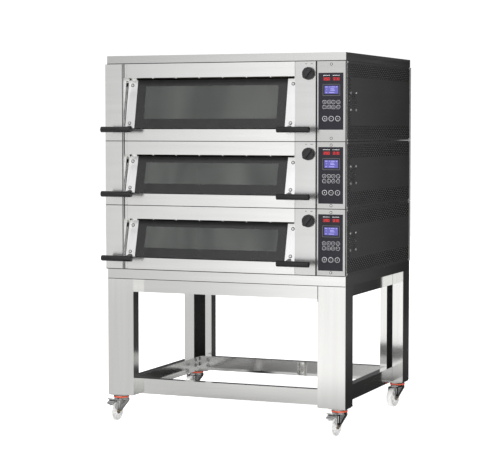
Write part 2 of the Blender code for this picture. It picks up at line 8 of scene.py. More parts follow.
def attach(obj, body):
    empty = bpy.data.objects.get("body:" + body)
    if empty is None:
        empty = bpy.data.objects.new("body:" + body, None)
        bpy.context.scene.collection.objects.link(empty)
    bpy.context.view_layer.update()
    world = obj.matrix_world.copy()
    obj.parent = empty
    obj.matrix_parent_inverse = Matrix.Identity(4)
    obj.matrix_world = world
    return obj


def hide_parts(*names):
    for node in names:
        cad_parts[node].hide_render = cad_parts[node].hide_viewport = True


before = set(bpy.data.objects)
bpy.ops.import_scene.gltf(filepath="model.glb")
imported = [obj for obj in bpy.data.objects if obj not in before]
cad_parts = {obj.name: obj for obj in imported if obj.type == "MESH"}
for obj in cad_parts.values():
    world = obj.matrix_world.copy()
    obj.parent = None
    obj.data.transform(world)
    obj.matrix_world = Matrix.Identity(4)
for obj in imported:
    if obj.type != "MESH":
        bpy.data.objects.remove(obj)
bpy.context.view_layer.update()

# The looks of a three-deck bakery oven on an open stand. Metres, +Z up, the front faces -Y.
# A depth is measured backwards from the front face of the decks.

# The decks
FACE_Y = -0.483
DECKS_Z = 0.765
LOWER_DECK_HEIGHT = 0.316
TOP_DECK_HEIGHT = 0.378
LOWER_HEADER = 0.066
TOP_HEADER = 0.070
SILL_HEIGHT = 0.058
DECK_HALF = 0.627
PILLAR_EDGE = -0.526
SHEET = 0.0015
GAP = 0.0003

# Doors
DOOR_X = -0.073
DOOR_HALF = 0.446
STRIP_WIDTH = 0.050
DOOR_LEAN = 0.047
DOOR_TOP_GAP = 0.010
DOOR_BOTTOM_GAP = 0.0045
PIVOT_DROP = 0.007
PIVOT_BACK = 0.014
GLASS_SETBACK = 0.0006
WINDOW_HALF = 0.350
WINDOW_BOTTOM = 0.047
WINDOW_TOP = 0.030
HANDLE_X = 0.4625
GRIP_LENGTH = 0.163
GRIP_RADIUS = 0.014
GRIP_STANDOFF = 0.065
GRIP_DROP = 0.0015

# Controls
KNOB_X = 0.444
KNOB_DROP = 0.058
KNOB_RADIUS = 0.030
SHAFT_LENGTH = 0.150
BAR_TILT = math.radians(50)
KEYPAD_LEFT = 0.493
KEYPAD_HEIGHT = 0.266
KEYPAD_FRONT = 0.0015
PRINT_START = 0.00004
PRINT_THICK = 0.0003
PLATE_SCREW_X = 0.5565

# Side panel
PANEL_FRONT = 0.0240
PANEL_REAR = 1.0205
SLOT_PITCH = 0.0300
SLOT_ROW = 0.0094
SLOT_RADIUS = 0.0026
SLOT_REACH = 0.0050
SLOT_SIDES = 16
BAND_ROWS = 7
PANEL_MARGIN = 0.0095
FAN_DEPTH = 0.1175
FAN_SPACING = 0.080

# Baking chamber
CHAMBER_HALF = 0.423
CHAMBER_REAR = 0.812
ROOF_RISE = 0.012

# Stand and castors
LEG_BOTTOM = 0.136
STAND_HALF = 0.625
STAND_FRONT = 0.015
STAND_REAR = 1.040
LEG_WIDTH = 0.140
RAIL_INSET_X = 0.057
LEG_RETURN = 0.060
LOWER_RAIL_HEIGHT = 0.076
SWIVEL_X = 0.579
SWIVEL_INSET = 0.052
SWIVEL_TURN = math.radians(12)
TRAIL = 0.047
WHEEL_RADIUS = 0.050

FULL_TURN = 2 * math.pi


class Deck:
    """The levels and the door's place in one deck."""

    def __init__(self, name, base, height, header):
        self.name = name
        self.base = base
        self.height = height
        self.top = base + height
        self.sill = base + SILL_HEIGHT
        self.header = self.top - header
        self.middle = base + height / 2
        self.knob_z = self.top - KNOB_DROP
        rise = self.header - DOOR_TOP_GAP - (self.sill + DOOR_BOTTOM_GAP)
        self.lean = math.atan2(DOOR_LEAN, rise)
        self.door_bottom = PIVOT_DROP - math.hypot(DOOR_LEAN, rise)
        across = PIVOT_BACK * math.cos(self.lean) - PIVOT_DROP * math.sin(self.lean)
        down = PIVOT_BACK * math.sin(self.lean) + PIVOT_DROP * math.cos(self.lean)
        self.pivot_y = FACE_Y + DOOR_LEAN + across
        self.pivot_z = self.header - DOOR_TOP_GAP - down
        place = Matrix.Translation((DOOR_X, self.pivot_y, self.pivot_z))
        self.door = place @ Matrix.Rotation(-self.lean, 4, "X")


DECKS = (
    Deck("bottom", DECKS_Z, LOWER_DECK_HEIGHT, LOWER_HEADER),
    Deck("middle", DECKS_Z + LOWER_DECK_HEIGHT, LOWER_DECK_HEIGHT, LOWER_HEADER),
    Deck("top", DECKS_Z + 2 * LOWER_DECK_HEIGHT, TOP_DECK_HEIGHT, TOP_HEADER),
)

CORNERS = ("front_left", "front_right", "rear_left", "rear_right")


# Materials


def fill(tree, socket, value):
    """Links a socket to another socket, or else sets its value."""
    if isinstance(value, bpy.types.NodeSocket):
        tree.links.new(value, socket)
    else:
        socket.default_value = value


def new_node(tree, kind, inputs, **settings):
    """A shader node with its settings made and its inputs filled, by name or by number."""
    node = tree.nodes.new("ShaderNode" + kind)
    for name, setting in settings.items():
        setattr(node, name, setting)
    for name, value in inputs.items():
        fill(tree, node.inputs[name], value)
    return node


def worked(tree, operation, a, b):
    return new_node(tree, "Math", {0: a, 1: b}, operation=operation).outputs[0]


def coordinate(tree, kind):
    return new_node(tree, "TexCoord", {}).outputs[kind]


def axes_of(tree, kind):
    """The X, Y and Z of a texture coordinate."""
    return new_node(tree, "SeparateXYZ", {0: coordinate(tree, kind)}).outputs


def stepped(tree, value, limits, kind="SMOOTHSTEP"):
    """Runs a value from limits[0] to limits[1] as limits[2] to limits[3], smoothly unless told otherwise."""
    names = ("Value", "From Min", "From Max", "To Min", "To Max")
    inputs = dict(zip(names, (value, *limits)))
    return new_node(tree, "MapRange", inputs, interpolation_type=kind).outputs["Result"]


def shaded(colour, share):
    return tuple(channel * share for channel in colour)


class Paint:
    """A Principled material, with procedural textures laid out in the piece's own metres."""

    def __init__(self, name, colour, roughness, metallic=0.0):
        self.material = bpy.data.materials.new(name)
        self.material.use_nodes = True
        self.tree = self.material.node_tree
        self.shader = self.tree.nodes["Principled BSDF"]
        self.set("Roughness", roughness)
        self.set("Metallic", metallic)
        self.set("Base Color", (*colour, 1.0))
        self.place = coordinate(self.tree, "Object")
        self.normal = None

    def set(self, socket, value):
        fill(self.tree, self.shader.inputs[socket], value)

    def stretched(self, scale):
        """The place on the piece times a scale: one number, or one for each axis."""
        scales = scale if isinstance(scale, tuple) else (scale, scale, scale)
        inputs = {0: self.place, 1: scales}
        return new_node(self.tree, "VectorMath", inputs, operation="MULTIPLY").outputs[0]

    def noise(self, scale, detail=3.0, roughness=0.5):
        """Noise whose scale is in features per metre."""
        inputs = {"Vector": self.stretched(scale), "Scale": 1.0, "Detail": detail, "Roughness": roughness}
        return new_node(self.tree, "TexNoise", inputs).outputs["Fac"]

    def cells(self, scale):
        inputs = {"Vector": self.stretched(scale), "Scale": 1.0}
        return new_node(self.tree, "TexVoronoi", inputs).outputs["Distance"]

    def between(self, texture, low, high):
        """A texture's middle range, run from low to high."""
        return stepped(self.tree, texture, (0.3, 0.7, low, high), "LINEAR")

    def vary(self, socket, texture, low, high):
        self.set(socket, self.between(texture, low, high))

    def tint(self, texture, first, second):
        """Runs the base colour from first to second with the texture."""
        inputs = {0: self.between(texture, 0.0, 1.0), 6: (*first, 1.0), 7: (*second, 1.0)}
        self.set("Base Color", new_node(self.tree, "Mix", inputs, data_type="RGBA").outputs[2])

    def bump(self, texture, strength, distance):
        inputs = {"Strength": strength, "Distance": distance, "Height": texture}
        if self.normal:
            inputs["Normal"] = self.normal
        self.normal = new_node(self.tree, "Bump", inputs).outputs["Normal"]
        self.set("Normal", self.normal)


def brushed(name, colour, roughness, along_z=False, anisotropy=0.7, round_axis="Z"):
    """Stainless steel with fine brush lines, level on upright faces or else running up them.

    Its reflections blur across the brush lines. round_axis is the axis that the grain turns about; none of
    the piece's wide faces may stand across it.
    """
    paint = Paint(name, colour, roughness, 1.0)
    slow, fast = 6.0, 1400.0
    fine = (fast, fast, slow) if along_z else (slow, slow, fast)
    broad = (40.0, 40.0, 1.5) if along_z else (1.5, 1.5, 40.0)
    paint.tint(paint.noise(broad, 4.0), shaded(colour, 0.97), shaded(colour, 1.02))
    paint.vary("Roughness", paint.noise(3.0, 4.0), roughness * 0.85, roughness * 1.15)
    paint.bump(paint.noise(fine, 2.0), 0.08, 0.00002)
    paint.bump(paint.noise(2.2, 1.0), 0.2, 0.0004)
    if anisotropy > 0.0:
        tangent = new_node(paint.tree, "Tangent", {}, direction_type="RADIAL", axis=round_axis)
        paint.set("Tangent", tangent.outputs[0])
        paint.set("Anisotropic", anisotropy)
        paint.set("Anisotropic Rotation", 0.0 if along_z or round_axis == "X" else 0.25)
    return paint.material


def satin_sheet(name, colour):
    """Dull metal sheet with a soft crystal pattern."""
    paint = Paint(name, colour, 0.5, 0.35)
    paint.tint(paint.cells(70.0), shaded(colour, 0.90), shaded(colour, 1.06))
    paint.vary("Roughness", paint.noise(30.0, 4.0), 0.42, 0.62)
    paint.bump(paint.noise(3.0, 1.0), 0.2, 0.0004)
    return paint.material


def plated(name, colour, roughness):
    """Bright plating with faint waves and small stains."""
    paint = Paint(name, colour, roughness, 1.0)
    paint.tint(paint.noise(60.0, 5.0), shaded(colour, 0.85), colour)
    paint.vary("Roughness", paint.noise(150.0), roughness * 0.7, roughness * 1.6)
    paint.bump(paint.noise(220.0), 0.2, 0.0001)
    return paint.material


def moulded(name, colour, roughness, grain=900.0, depth=0.00006, shine=0.5):
    """Plastic with a fine spark-eroded grain."""
    paint = Paint(name, colour, roughness)
    paint.set("Specular IOR Level", shine)
    paint.tint(paint.noise(25.0, 4.0), shaded(colour, 0.88), shaded(colour, 1.12))
    paint.vary("Roughness", paint.noise(80.0), roughness * 0.85, roughness * 1.15)
    paint.bump(paint.noise(grain, 2.0), 0.5, depth)
    return paint.material


def heat_tinted():
    """Dull sheet with straw and brown heat stains."""
    paint = Paint("heat_tinted_steel", (0.36, 0.35, 0.33), 0.48, 0.85)
    paint.tint(paint.noise((5.0, 5.0, 9.0), 6.0), (0.30, 0.27, 0.23), (0.46, 0.46, 0.45))
    paint.vary("Roughness", paint.noise(14.0, 4.0), 0.38, 0.60)
    paint.bump(paint.noise(300.0), 0.3, 0.0002)
    return paint.material


def refractory():
    """Pale baking stone with darker grains, pores and baked-on marks."""
    paint = Paint("baking_stone", (0.60, 0.54, 0.45), 0.92)
    paint.tint(paint.noise(12.0, 8.0, 0.7), (0.42, 0.36, 0.28), (0.68, 0.62, 0.53))
    paint.bump(paint.noise(420.0, 5.0), 0.8, 0.0008)
    paint.bump(paint.cells(160.0), 0.4, 0.0006)
    return paint.material


def clear_glass():
    """Smoked pane: what lies behind shows through, under a clean reflection with cloudy streaks."""
    paint = Paint("smoked_glass", (0.095, 0.097, 0.094), 0.05)
    paint.tint(paint.noise((5.0, 5.0, 1.2), 3.0), (0.050, 0.054, 0.053), (0.122, 0.126, 0.120))
    paint.set("IOR", 1.52)
    paint.vary("Roughness", paint.noise(18.0, 5.0), 0.03, 0.09)
    paint.bump(paint.noise(7.0, 1.0), 0.15, 0.0004)
    through = new_node(paint.tree, "BsdfTransparent", {"Color": (0.74, 0.76, 0.75, 1.0)})
    share = paint.between(paint.noise(9.0, 4.0), 0.50, 0.56)
    inputs = {0: share, 1: through.outputs[0], 2: paint.shader.outputs[0]}
    mix = new_node(paint.tree, "MixShader", inputs)
    fill(paint.tree, paint.tree.nodes["Material Output"].inputs["Surface"], mix.outputs[0])
    return paint.material


def glossy_black(name, colour):
    """Fired enamel border on glass, its reflection turned down along its upper edge as painted shade under
    the header.
    """
    paint = Paint(name, colour, 0.10)
    height = axes_of(paint.tree, "Generated")["Z"]
    # Painted shade: less reflection towards the top, where the header shades the leaning door.
    paint.set("Specular IOR Level", stepped(paint.tree, height, (0.86, 0.97, 0.5, 0.12)))
    paint.tint(paint.noise(30.0, 4.0), shaded(colour, 0.85), shaded(colour, 1.15))
    paint.vary("Roughness", paint.noise(20.0, 5.0), 0.06, 0.16)
    paint.bump(paint.noise(8.0, 1.0), 0.1, 0.0003)
    return paint.material


def lit(name, colour, strength):
    """A display that gives off its own light, a little uneven."""
    paint = Paint(name, colour, 0.35)
    glow = worked(paint.tree, "MULTIPLY", paint.between(paint.noise(120.0), 0.85, 1.1), strength)
    paint.set("Emission Color", (*colour, 1.0))
    paint.set("Emission Strength", glow)
    return paint.material


# One brushed stainless steel in every sheet. The base colours differ sheet by sheet as painted light and
# shade, with the fascia, control plate and cover darker as painted shade.
FRONT = brushed("brushed_stainless_front", (0.91, 0.91, 0.90), 0.20)
FASCIA = brushed("brushed_stainless_fascia", (0.69, 0.69, 0.685), 0.22)
PLATE = brushed("brushed_stainless_plate", (0.58, 0.58, 0.575), 0.24)
COVER = brushed("brushed_stainless_cover", (0.72, 0.72, 0.71), 0.24, round_axis="X")
CASE = brushed("brushed_stainless_case", (0.90, 0.90, 0.89), 0.20)
POST = satin_sheet("satin_post", (0.40, 0.40, 0.39))
SIDE = brushed("brushed_stainless_side", (0.78, 0.78, 0.78), 0.20, anisotropy=0.0)
UPRIGHT = brushed("brushed_stainless_upright", (0.84, 0.84, 0.83), 0.14, along_z=True)
BEAM = brushed("polished_stainless_beam", (0.82, 0.82, 0.81), 0.12)
STRIP = brushed("brushed_stainless_strip", (0.92, 0.92, 0.92), 0.24, along_z=True)
LINER = heat_tinted()
BAKING_STONE = refractory()
GLASS = clear_glass()
ENAMEL = glossy_black("black_enamel", (0.013, 0.013, 0.0135))
OVERLAY = moulded("overlay_film", (0.009, 0.0085, 0.014), 0.45, 1500.0, 0.00002, shine=0.4)
GRIP_BLACK = moulded("grip_plastic", (0.006, 0.006, 0.0065), 0.32, shine=0.42)
KNOB_GREY = moulded("knob_plastic", (0.018, 0.018, 0.0195), 0.36, shine=0.30)
PRINT = moulded("white_print", (0.66, 0.66, 0.68), 0.50)
PRINT_GREY = moulded("grey_print", (0.12, 0.12, 0.13), 0.50)
RED_WINDOW = moulded("red_window", (0.14, 0.004, 0.008), 0.30)
RED_LIT = lit("red_digits", (0.62, 0.025, 0.03), 0.22)
BLUE_LIT = lit("violet_screen", (0.075, 0.068, 0.27), 0.12)
PALE_LIT = lit("screen_marks", (0.24, 0.23, 0.50), 0.20)
CHROME = plated("chrome_plate", (0.74, 0.74, 0.74), 0.08)
# A lighter copy of the fork's chrome for its rolled edges: painted highlight.
CHROME_HIGHLIGHT = plated("chrome_painted_highlight", (0.93, 0.93, 0.93), 0.16)
ZINC = plated("bright_zinc", (0.86, 0.86, 0.84), 0.20)
PALE_ZINC = plated("pale_zinc", (0.95, 0.95, 0.94), 0.55)
GREY_ZINC = satin_sheet("grey_zinc_sheet", (0.24, 0.24, 0.24))
# Dark sheet inside the rear legs: painted shade.
LEG_SHADE = satin_sheet("painted_shade_leg_inside", (0.075, 0.075, 0.073))
BRONZE = plated("bronze_bolt", (0.62, 0.44, 0.26), 0.25)
NYLON = moulded("white_nylon", (0.74, 0.74, 0.73), 0.42, 500.0, 0.0001)
SEAL = moulded("orange_seal", (0.72, 0.085, 0.030), 0.45)
ELEMENT = plated("heating_element", (0.34, 0.30, 0.27), 0.42)
FAN_GREY = moulded("fan_plastic", (0.30, 0.30, 0.30), 0.50)
# Black for the strips and rings laid in seams, gaps and round sunk screws: painted shade.
SHADE_BLACK = moulded("painted_shade_black", (0.012, 0.012, 0.011), 0.7)


# Mesh building

# Lays an outline of (y, z) points so that it is extruded along X.
SIDEWAYS = Matrix(((0, 0, 1, 0), (1, 0, 0, 0), (0, 1, 0, 0), (0, 0, 0, 1)))


def upright(position, normal):
    """A frame at a point whose Z runs along a normal and whose Y is as upright as it can be."""
    z = Vector(normal).normalized()
    up = Vector((0, 0, 1)) if abs(z.z) < 0.9 else Vector((0, 1, 0))
    x = up.cross(z).normalized()
    y = z.cross(x)
    turned = Matrix((x, y, z)).transposed().to_4x4()
    return Matrix.Translation(position) @ turned


def on_front(x, z, depth=0.0):
    """A frame at a point of the decks' front face, looking forwards."""
    return upright((x, FACE_Y + depth, z), (0, -1, 0))


def add_box(bm, low, high, bevel=0.0, place=Matrix.Identity(4)):
    middle = [(a + b) / 2 for a, b in zip(low, high)]
    size = [b - a for a, b in zip(low, high)]
    matrix = place @ Matrix.Translation(middle) @ Matrix.Diagonal((*size, 1.0))
    made = bmesh.ops.create_cube(bm, size=1.0, matrix=matrix)
    if bevel:
        edges = list({edge for vert in made["verts"] for edge in vert.link_edges})
        bmesh.ops.bevel(bm, geom=edges, offset=bevel, segments=2, profile=0.5, affect="EDGES")


def circle(radius, count, start=0.0):
    """Points evenly round a circle."""
    turns = [FULL_TURN * i / count + start for i in range(count)]
    return [(radius * math.cos(turn), radius * math.sin(turn)) for turn in turns]


def circle_loops(bm, place, profile, segments):
    """A loop of vertices round the frame's Z axis for each (radius, height), or one vertex on the axis."""
    loops = []
    for radius, height in profile:
        count = segments if radius else 1
        points = [Vector((x, y, height)) for x, y in circle(radius, count)]
        loops.append([bm.verts.new(place @ point) for point in points])
    return loops


def bridge(bm, loops):
    """Faces between each loop and the next."""
    for low, high in zip(loops, loops[1:]):
        count = max(len(low), len(high))
        for i in range(count):
            j = (i + 1) % count
            corners = [low[i % len(low)], low[j % len(low)], high[j % len(high)], high[i % len(high)]]
            bm.faces.new(dict.fromkeys(corners))


def rim_bars(x0, x1, y0, y1, width):
    """Four bars round the inside of a rectangle, each as its own x0, x1, y0 and y1."""
    return (
        (x0, x1, y0, y0 + width),
        (x0, x1, y1 - width, y1),
        (x0, x0 + width, y0, y1),
        (x1 - width, x1, y0, y1),
    )


def add_lathe(bm, place, profile, segments=48):
    """A profile of (radius, height) turned round the frame's Z axis. Ends off the axis are capped."""
    loops = circle_loops(bm, place, profile, segments)
    bridge(bm, loops)
    for loop, turned_over in ((loops[0], True), (loops[-1], False)):
        if len(loop) > 2:
            bm.faces.new(loop[::-1] if turned_over else loop)


def add_turned_ring(bm, place, profile, segments):
    """A closed profile of (radius, height) turned round the frame's Z axis, with a hole in its middle."""
    loops = circle_loops(bm, place, profile, segments)
    bridge(bm, loops + loops[:1])


def add_prism(bm, place, outline, low, high, bevel=0.0, segments=2):
    """An outline in the frame's XY plane, extruded along its Z."""
    loops = [[bm.verts.new(place @ Vector((x, y, z))) for x, y in outline] for z in (low, high)]
    faces = [bm.faces.new(loops[0][::-1]), bm.faces.new(loops[1])]
    for i in range(len(outline)):
        j = (i + 1) % len(outline)
        faces.append(bm.faces.new((loops[0][i], loops[0][j], loops[1][j], loops[1][i])))
    if bevel:
        edges = list({edge for face in faces for edge in face.edges})
        bmesh.ops.bevel(bm, geom=edges, offset=bevel, segments=segments, profile=0.5, affect="EDGES")


def add_tube(bm, points, radius, segments=12):
    """A round rod along a path of points, capped at its ends."""
    path = [Vector(point) for point in points]
    loops = []
    side = None
    for i, point in enumerate(path):
        ahead = (path[min(i + 1, len(path) - 1)] - path[max(i - 1, 0)]).normalized()
        if side is None:
            side = ahead.orthogonal().normalized()
        side = (side - ahead * side.dot(ahead)).normalized()
        across = ahead.cross(side)
        around = [point + radius * (x * side + y * across) for x, y in circle(1.0, segments)]
        loops.append([bm.verts.new(vert) for vert in around])
    bridge(bm, loops)
    bm.faces.new(loops[0][::-1])
    bm.faces.new(loops[-1])


def add_screw(bm, place, radius=0.0045, height=0.0022):
    """A domed head with a cross recess, standing on the frame's XY plane."""
    slot, wide = radius * 0.62, radius * 0.13
    steps = 5
    dome = [(radius, 0.0), (radius, height * 0.35)]
    angles = [math.pi / 2 * i / steps for i in range(1, steps)]
    dome += [(radius * math.cos(a) ** 0.6, height * (0.35 + 0.6 * math.sin(a))) for a in angles]
    dome.append((slot * 1.1, height))
    add_lathe(bm, place, dome, 24)
    for turn in (0.0, math.pi / 2):
        cross = place @ Matrix.Rotation(turn + 0.4, 4, "Z")
        add_box(bm, (-slot, -wide, height - 0.0001), (slot, wide, height + 0.00012), place=cross)


def add_dark_ring(bm, place, radius):
    """A thin black ring round a sunk screw: painted shadow of the gap round it."""
    add_lathe(bm, place, [(radius * 1.32, 0.0), (radius * 1.32, 0.0005), (radius * 0.6, 0.0006)], 28)


def add_hex_bolt(bm, place, radius=0.0075, height=0.005):
    """A chamfered hexagon head on a washer."""
    add_lathe(bm, place, [(radius * 1.45, 0.0), (radius * 1.45, 0.0012), (radius * 1.35, 0.0016)], 32)
    add_prism(bm, place, circle(radius * 1.12, 6), 0.0014, height, 0.0006)


def new_object(name, data):
    obj = bpy.data.objects.new(name, data)
    bpy.context.scene.collection.objects.link(obj)
    return obj


def mesh_object(name, bm, material):
    mesh = bpy.data.meshes.new(name)
    bm.to_mesh(mesh)
    bm.free()
    mesh.materials.append(material)
    return new_object(name, mesh)


def piece(name, bm, material, body, place=None, bend=35):
    """A finished piece that moves with a body of the frame. Without a bend it keeps its faces as made."""
    if bend:
        bmesh.ops.recalc_face_normals(bm, faces=bm.faces)
    obj = mesh_object(name, bm, material)
    if bend:
        obj.data.shade_smooth()
        obj.data.set_sharp_from_angle(angle=math.radians(bend))
    if place:
        obj.matrix_world = place
    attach(obj, body)
    return obj


def deck_piece(deck, name, bm, material, bend=35):
    """A finished piece of one deck that stays with the oven's body."""
    return piece(name + "_" + deck.name, bm, material, "oven_body", bend=bend)


# CAD nodes that show as they are


def soften(node, width):
    """Rounds a folded sheet's edges a little, so that they catch the light."""
    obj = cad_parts[node]
    weld = obj.modifiers.new("weld", "WELD")
    weld.merge_threshold = 0.00001
    bevel = obj.modifiers.new("bevel", "BEVEL")
    bevel.width = width
    bevel.segments = 2
    bevel.limit_method = "ANGLE"
    bevel.angle_limit = math.radians(40)
    bevel.harden_normals = True


def paint_node(node, material, width=0.0005):
    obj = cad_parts[node]
    obj.data.materials.clear()
    obj.data.materials.append(material)
    if width:
        soften(node, width)


def paint_frame():
    for deck in DECKS:
        for node, material in (
            ("casing_", CASE),
            ("front_surround_", FRONT),
            ("right_fascia_", FASCIA),
            ("control_plate_", PLATE),
            ("door_frame_", STRIP),
            ("keypad_", OVERLAY),
        ):
            paint_node(node + deck.name, material)
        paint_node("chamber_" + deck.name, LINER, 0)
        paint_node("stone_floor_" + deck.name, BAKING_STONE, 0.001)
        paint_node("door_glass_" + deck.name, GLASS, 0)
    paint_node("top_cover", COVER)
    paint_node("stand_top_frame", BEAM)
    paint_node("lower_frame", BEAM)
    for corner in CORNERS:
        paint_node("leg_" + corner, UPRIGHT)
        paint_node("castor_housing_" + corner, ZINC, 0.0004)
        paint_node("castor_fork_" + corner, CHROME, 0.0006)
    paint_node("brake_pedal_front_left", CHROME, 0.0006)
    paint_node("brake_pedal_front_right", CHROME, 0.0006)


# Doors


def make_glass_border(deck):
    """The printed border of the pane."""
    bm = bmesh.new()
    front = -PIVOT_BACK + GLASS_SETBACK
    half = DOOR_HALF - STRIP_WIDTH - 2 * GAP
    low, high = deck.door_bottom, PIVOT_DROP
    window_low, window_high = low + WINDOW_BOTTOM, high - WINDOW_TOP
    thick, clear = 0.0003, 0.00005
    y0, y1 = front - thick, front - clear
    for x0, x1, z0, z1 in (
        (-half, -WINDOW_HALF, low, high),
        (WINDOW_HALF, half, low, high),
        (-WINDOW_HALF, WINDOW_HALF, low, window_low),
        (-WINDOW_HALF, WINDOW_HALF, window_high, high),
    ):
        add_box(bm, (x0, y0, z0), (x1, y1, z1))
    piece("glass_border_" + deck.name, bm, ENAMEL, "door_" + deck.name, deck.door)


def make_door_screws(deck):
    bm, rings = bmesh.new(), bmesh.new()
    inset = 0.025
    for side in (-1, 1):
        x = side * (DOOR_HALF - STRIP_WIDTH * 0.45)
        for z in (deck.door_bottom + inset, PIVOT_DROP - inset):
            place = upright((x, -PIVOT_BACK, z), (0, -1, 0))
            add_screw(bm, place, 0.0062, 0.0030)
            add_dark_ring(rings, place, 0.0066)
    piece("door_screws_" + deck.name, bm, ZINC, "door_" + deck.name, deck.door)
    # Black rings round the screws: painted shadow.
    piece("door_washers_" + deck.name, rings, SHADE_BLACK, "door_" + deck.name, deck.door)


def make_handle(deck, side, name):
    """A round grip with a capped end, on an arm from the foot of the edge strip."""
    back = FACE_Y - GRIP_STANDOFF - deck.pivot_y
    up = deck.sill - GRIP_DROP - deck.pivot_z
    y = back * math.cos(deck.lean) - up * math.sin(deck.lean)
    z = back * math.sin(deck.lean) + up * math.cos(deck.lean)
    grip_x = side * HANDLE_X
    half, radius, soft = GRIP_LENGTH / 2, GRIP_RADIUS, 0.0018
    profile = [(0, -half + 0.0012), (radius - 0.0055, -half + 0.0012), (radius - 0.005, -half)]
    profile += [(radius - soft, -half), (radius - soft * 0.3, -half + soft * 0.3), (radius, -half + soft)]
    profile += [(r, -along) for r, along in reversed(profile)]
    bm = bmesh.new()
    add_lathe(bm, upright((grip_x, y, z), (1, 0, 0)), profile, 64)
    arm_x = side * (DOOR_HALF - STRIP_WIDTH / 2)
    face, root = -PIVOT_BACK - GAP, deck.door_bottom + 0.002
    outline = [(face, root), (face, root + 0.012), (y + 0.004, z + 0.009), (y + 0.004, z - 0.004)]
    add_prism(bm, Matrix.Translation((arm_x, 0, 0)) @ SIDEWAYS, outline, -0.007, 0.007, 0.0012)
    grip = piece(name + "_grip_" + deck.name, bm, GRIP_BLACK, "door_" + deck.name, deck.door)
    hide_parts(name + "_" + deck.name)


def make_header_screws(deck):
    """Small bright heads along the header's lower edge."""
    bm = bmesh.new()
    first, pitch, count = -0.367, 0.1235, 6
    for i in range(count):
        place = on_front(first + pitch * i, deck.header - 0.0012, 0.0030)
        add_screw(bm, place, 0.0036, 0.0024)
    deck_piece(deck, "header_screws", bm, PALE_ZINC)


# Controls


def make_knob(deck):
    """A scalloped damper knob with a raised grip bar, its shaft and the shutter."""
    bm = bmesh.new()
    place = upright((0, 0, 0), (0, -1, 0))
    lobes, segments = 10, 120
    notch = 0.035
    levels = ((0.0009, 0.96), (0.0022, 1.0), (0.0110, 1.0), (0.0140, 0.975), (0.0160, 0.93), (0.0165, 0.86))
    loops = []
    for height, share in levels:
        loop = []
        for i in range(segments):
            turn = FULL_TURN * i / segments
            scallop = 1 - notch * abs(math.cos(turn * lobes / 2)) ** 6
            radius = KNOB_RADIUS * share * scallop
            point = Vector((radius * math.cos(turn), radius * math.sin(turn), height))
            loop.append(bm.verts.new(place @ point))
        loops.append(loop)
    bridge(bm, loops)
    bm.faces.new(loops[0][::-1])
    bm.faces.new(loops[-1])
    tilted = place @ Matrix.Rotation(BAR_TILT, 4, "Z")
    length, width, nose = 0.0275, 0.0072, 0.004
    neck = length - nose
    outline = [(-length, -width), (neck, -width), (length, 0), (neck, width), (-length, width)]
    add_prism(bm, tilted, outline, 0.0130, 0.0300, 0.0022, 4)
    shaft_radius = 0.004
    add_lathe(bm, place, [(shaft_radius, -SHAFT_LENGTH), (shaft_radius, 0.002)], 20)
    half_wide, half_tall = 0.022, 0.015
    low = (-half_wide, SHAFT_LENGTH - 0.004, -half_tall)
    add_box(bm, low, (half_wide, SHAFT_LENGTH - 0.002, half_tall), 0.0004)
    at = Matrix.Translation((KNOB_X, FACE_Y, deck.knob_z))
    knob = piece("damper_grip_" + deck.name, bm, KNOB_GREY, "damper_" + deck.name, at)
    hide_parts("damper_knob_" + deck.name)


def make_damper_marks(deck):
    """Tiny printed bars over the knob, two on the left and three on the right."""
    bm = bmesh.new()
    z = deck.knob_z + 0.0455
    y0, y1 = FACE_Y - 0.0003, FACE_Y - 0.00005
    width, half = 0.0032, 0.0018
    for x in (-0.0165, -0.0125, 0.0095, 0.0135, 0.0175):
        add_box(bm, (KNOB_X + x, y0, z - half), (KNOB_X + x + width, y1, z + half))
    deck_piece(deck, "damper_marks", bm, PRINT_GREY)


def on_keypad(deck, across, down):
    """The place of a point on the overlay, from its top left corner, with its Z towards the user."""
    top = deck.middle + KEYPAD_HEIGHT / 2
    return on_front(KEYPAD_LEFT + across, top - down, -KEYPAD_FRONT)


def add_plate(bm, deck, x0, x1, down0, down1, thick, start=PRINT_START):
    place = on_keypad(deck, (x0 + x1) / 2, (down0 + down1) / 2)
    half_x, half_y = (x1 - x0) / 2, (down1 - down0) / 2
    add_box(bm, (-half_x, -half_y, start), (half_x, half_y, thick), place=place)


SEGMENTS_OF = {"0": "abcdef", "1": "bc", "2": "abged", "5": "afgcd"}
# Each segment's left and right ends in digit widths, and its lower and upper ends in half heights.
SEGMENT_BOXES = {
    "a": (0, 1, 1, 1),
    "b": (1, 1, 0, 1),
    "c": (1, 1, -1, 0),
    "d": (0, 1, -1, -1),
    "e": (0, 0, -1, 0),
    "f": (0, 0, 0, 1),
    "g": (0, 1, 0, 0),
}


def add_digits(bm, deck, text, left, middle, width=0.0066, height=0.0100, stroke=0.0014):
    """Seven-segment digits on the overlay."""
    for i, digit in enumerate(text):
        x = left + i * width * 1.5
        for name in SEGMENTS_OF[digit]:
            ax, bx, az, bz = SEGMENT_BOXES[name]
            x0, x1 = x + ax * width - stroke / 2, x + bx * width + stroke / 2
            d0, d1 = middle - bz * height / 2 - stroke / 2, middle - az * height / 2 + stroke / 2
            add_plate(bm, deck, x0, x1, d0, d1, 0.00045)


def add_ring(bm, place, radius, stroke, segments=48):
    """A flat printed ring."""
    inner = radius - stroke
    low, high = PRINT_START, PRINT_THICK
    profile = [(inner, low), (radius, low), (radius, high), (inner, high)]
    add_turned_ring(bm, place, profile, segments)


SMALL_KEYS = [(x, down) for down in (0.1365, 0.160) for x in (0.030, 0.0535, 0.075, 0.099)]
LARGE_KEYS = [(x, 0.214) for x in (0.032, 0.064, 0.0965)]


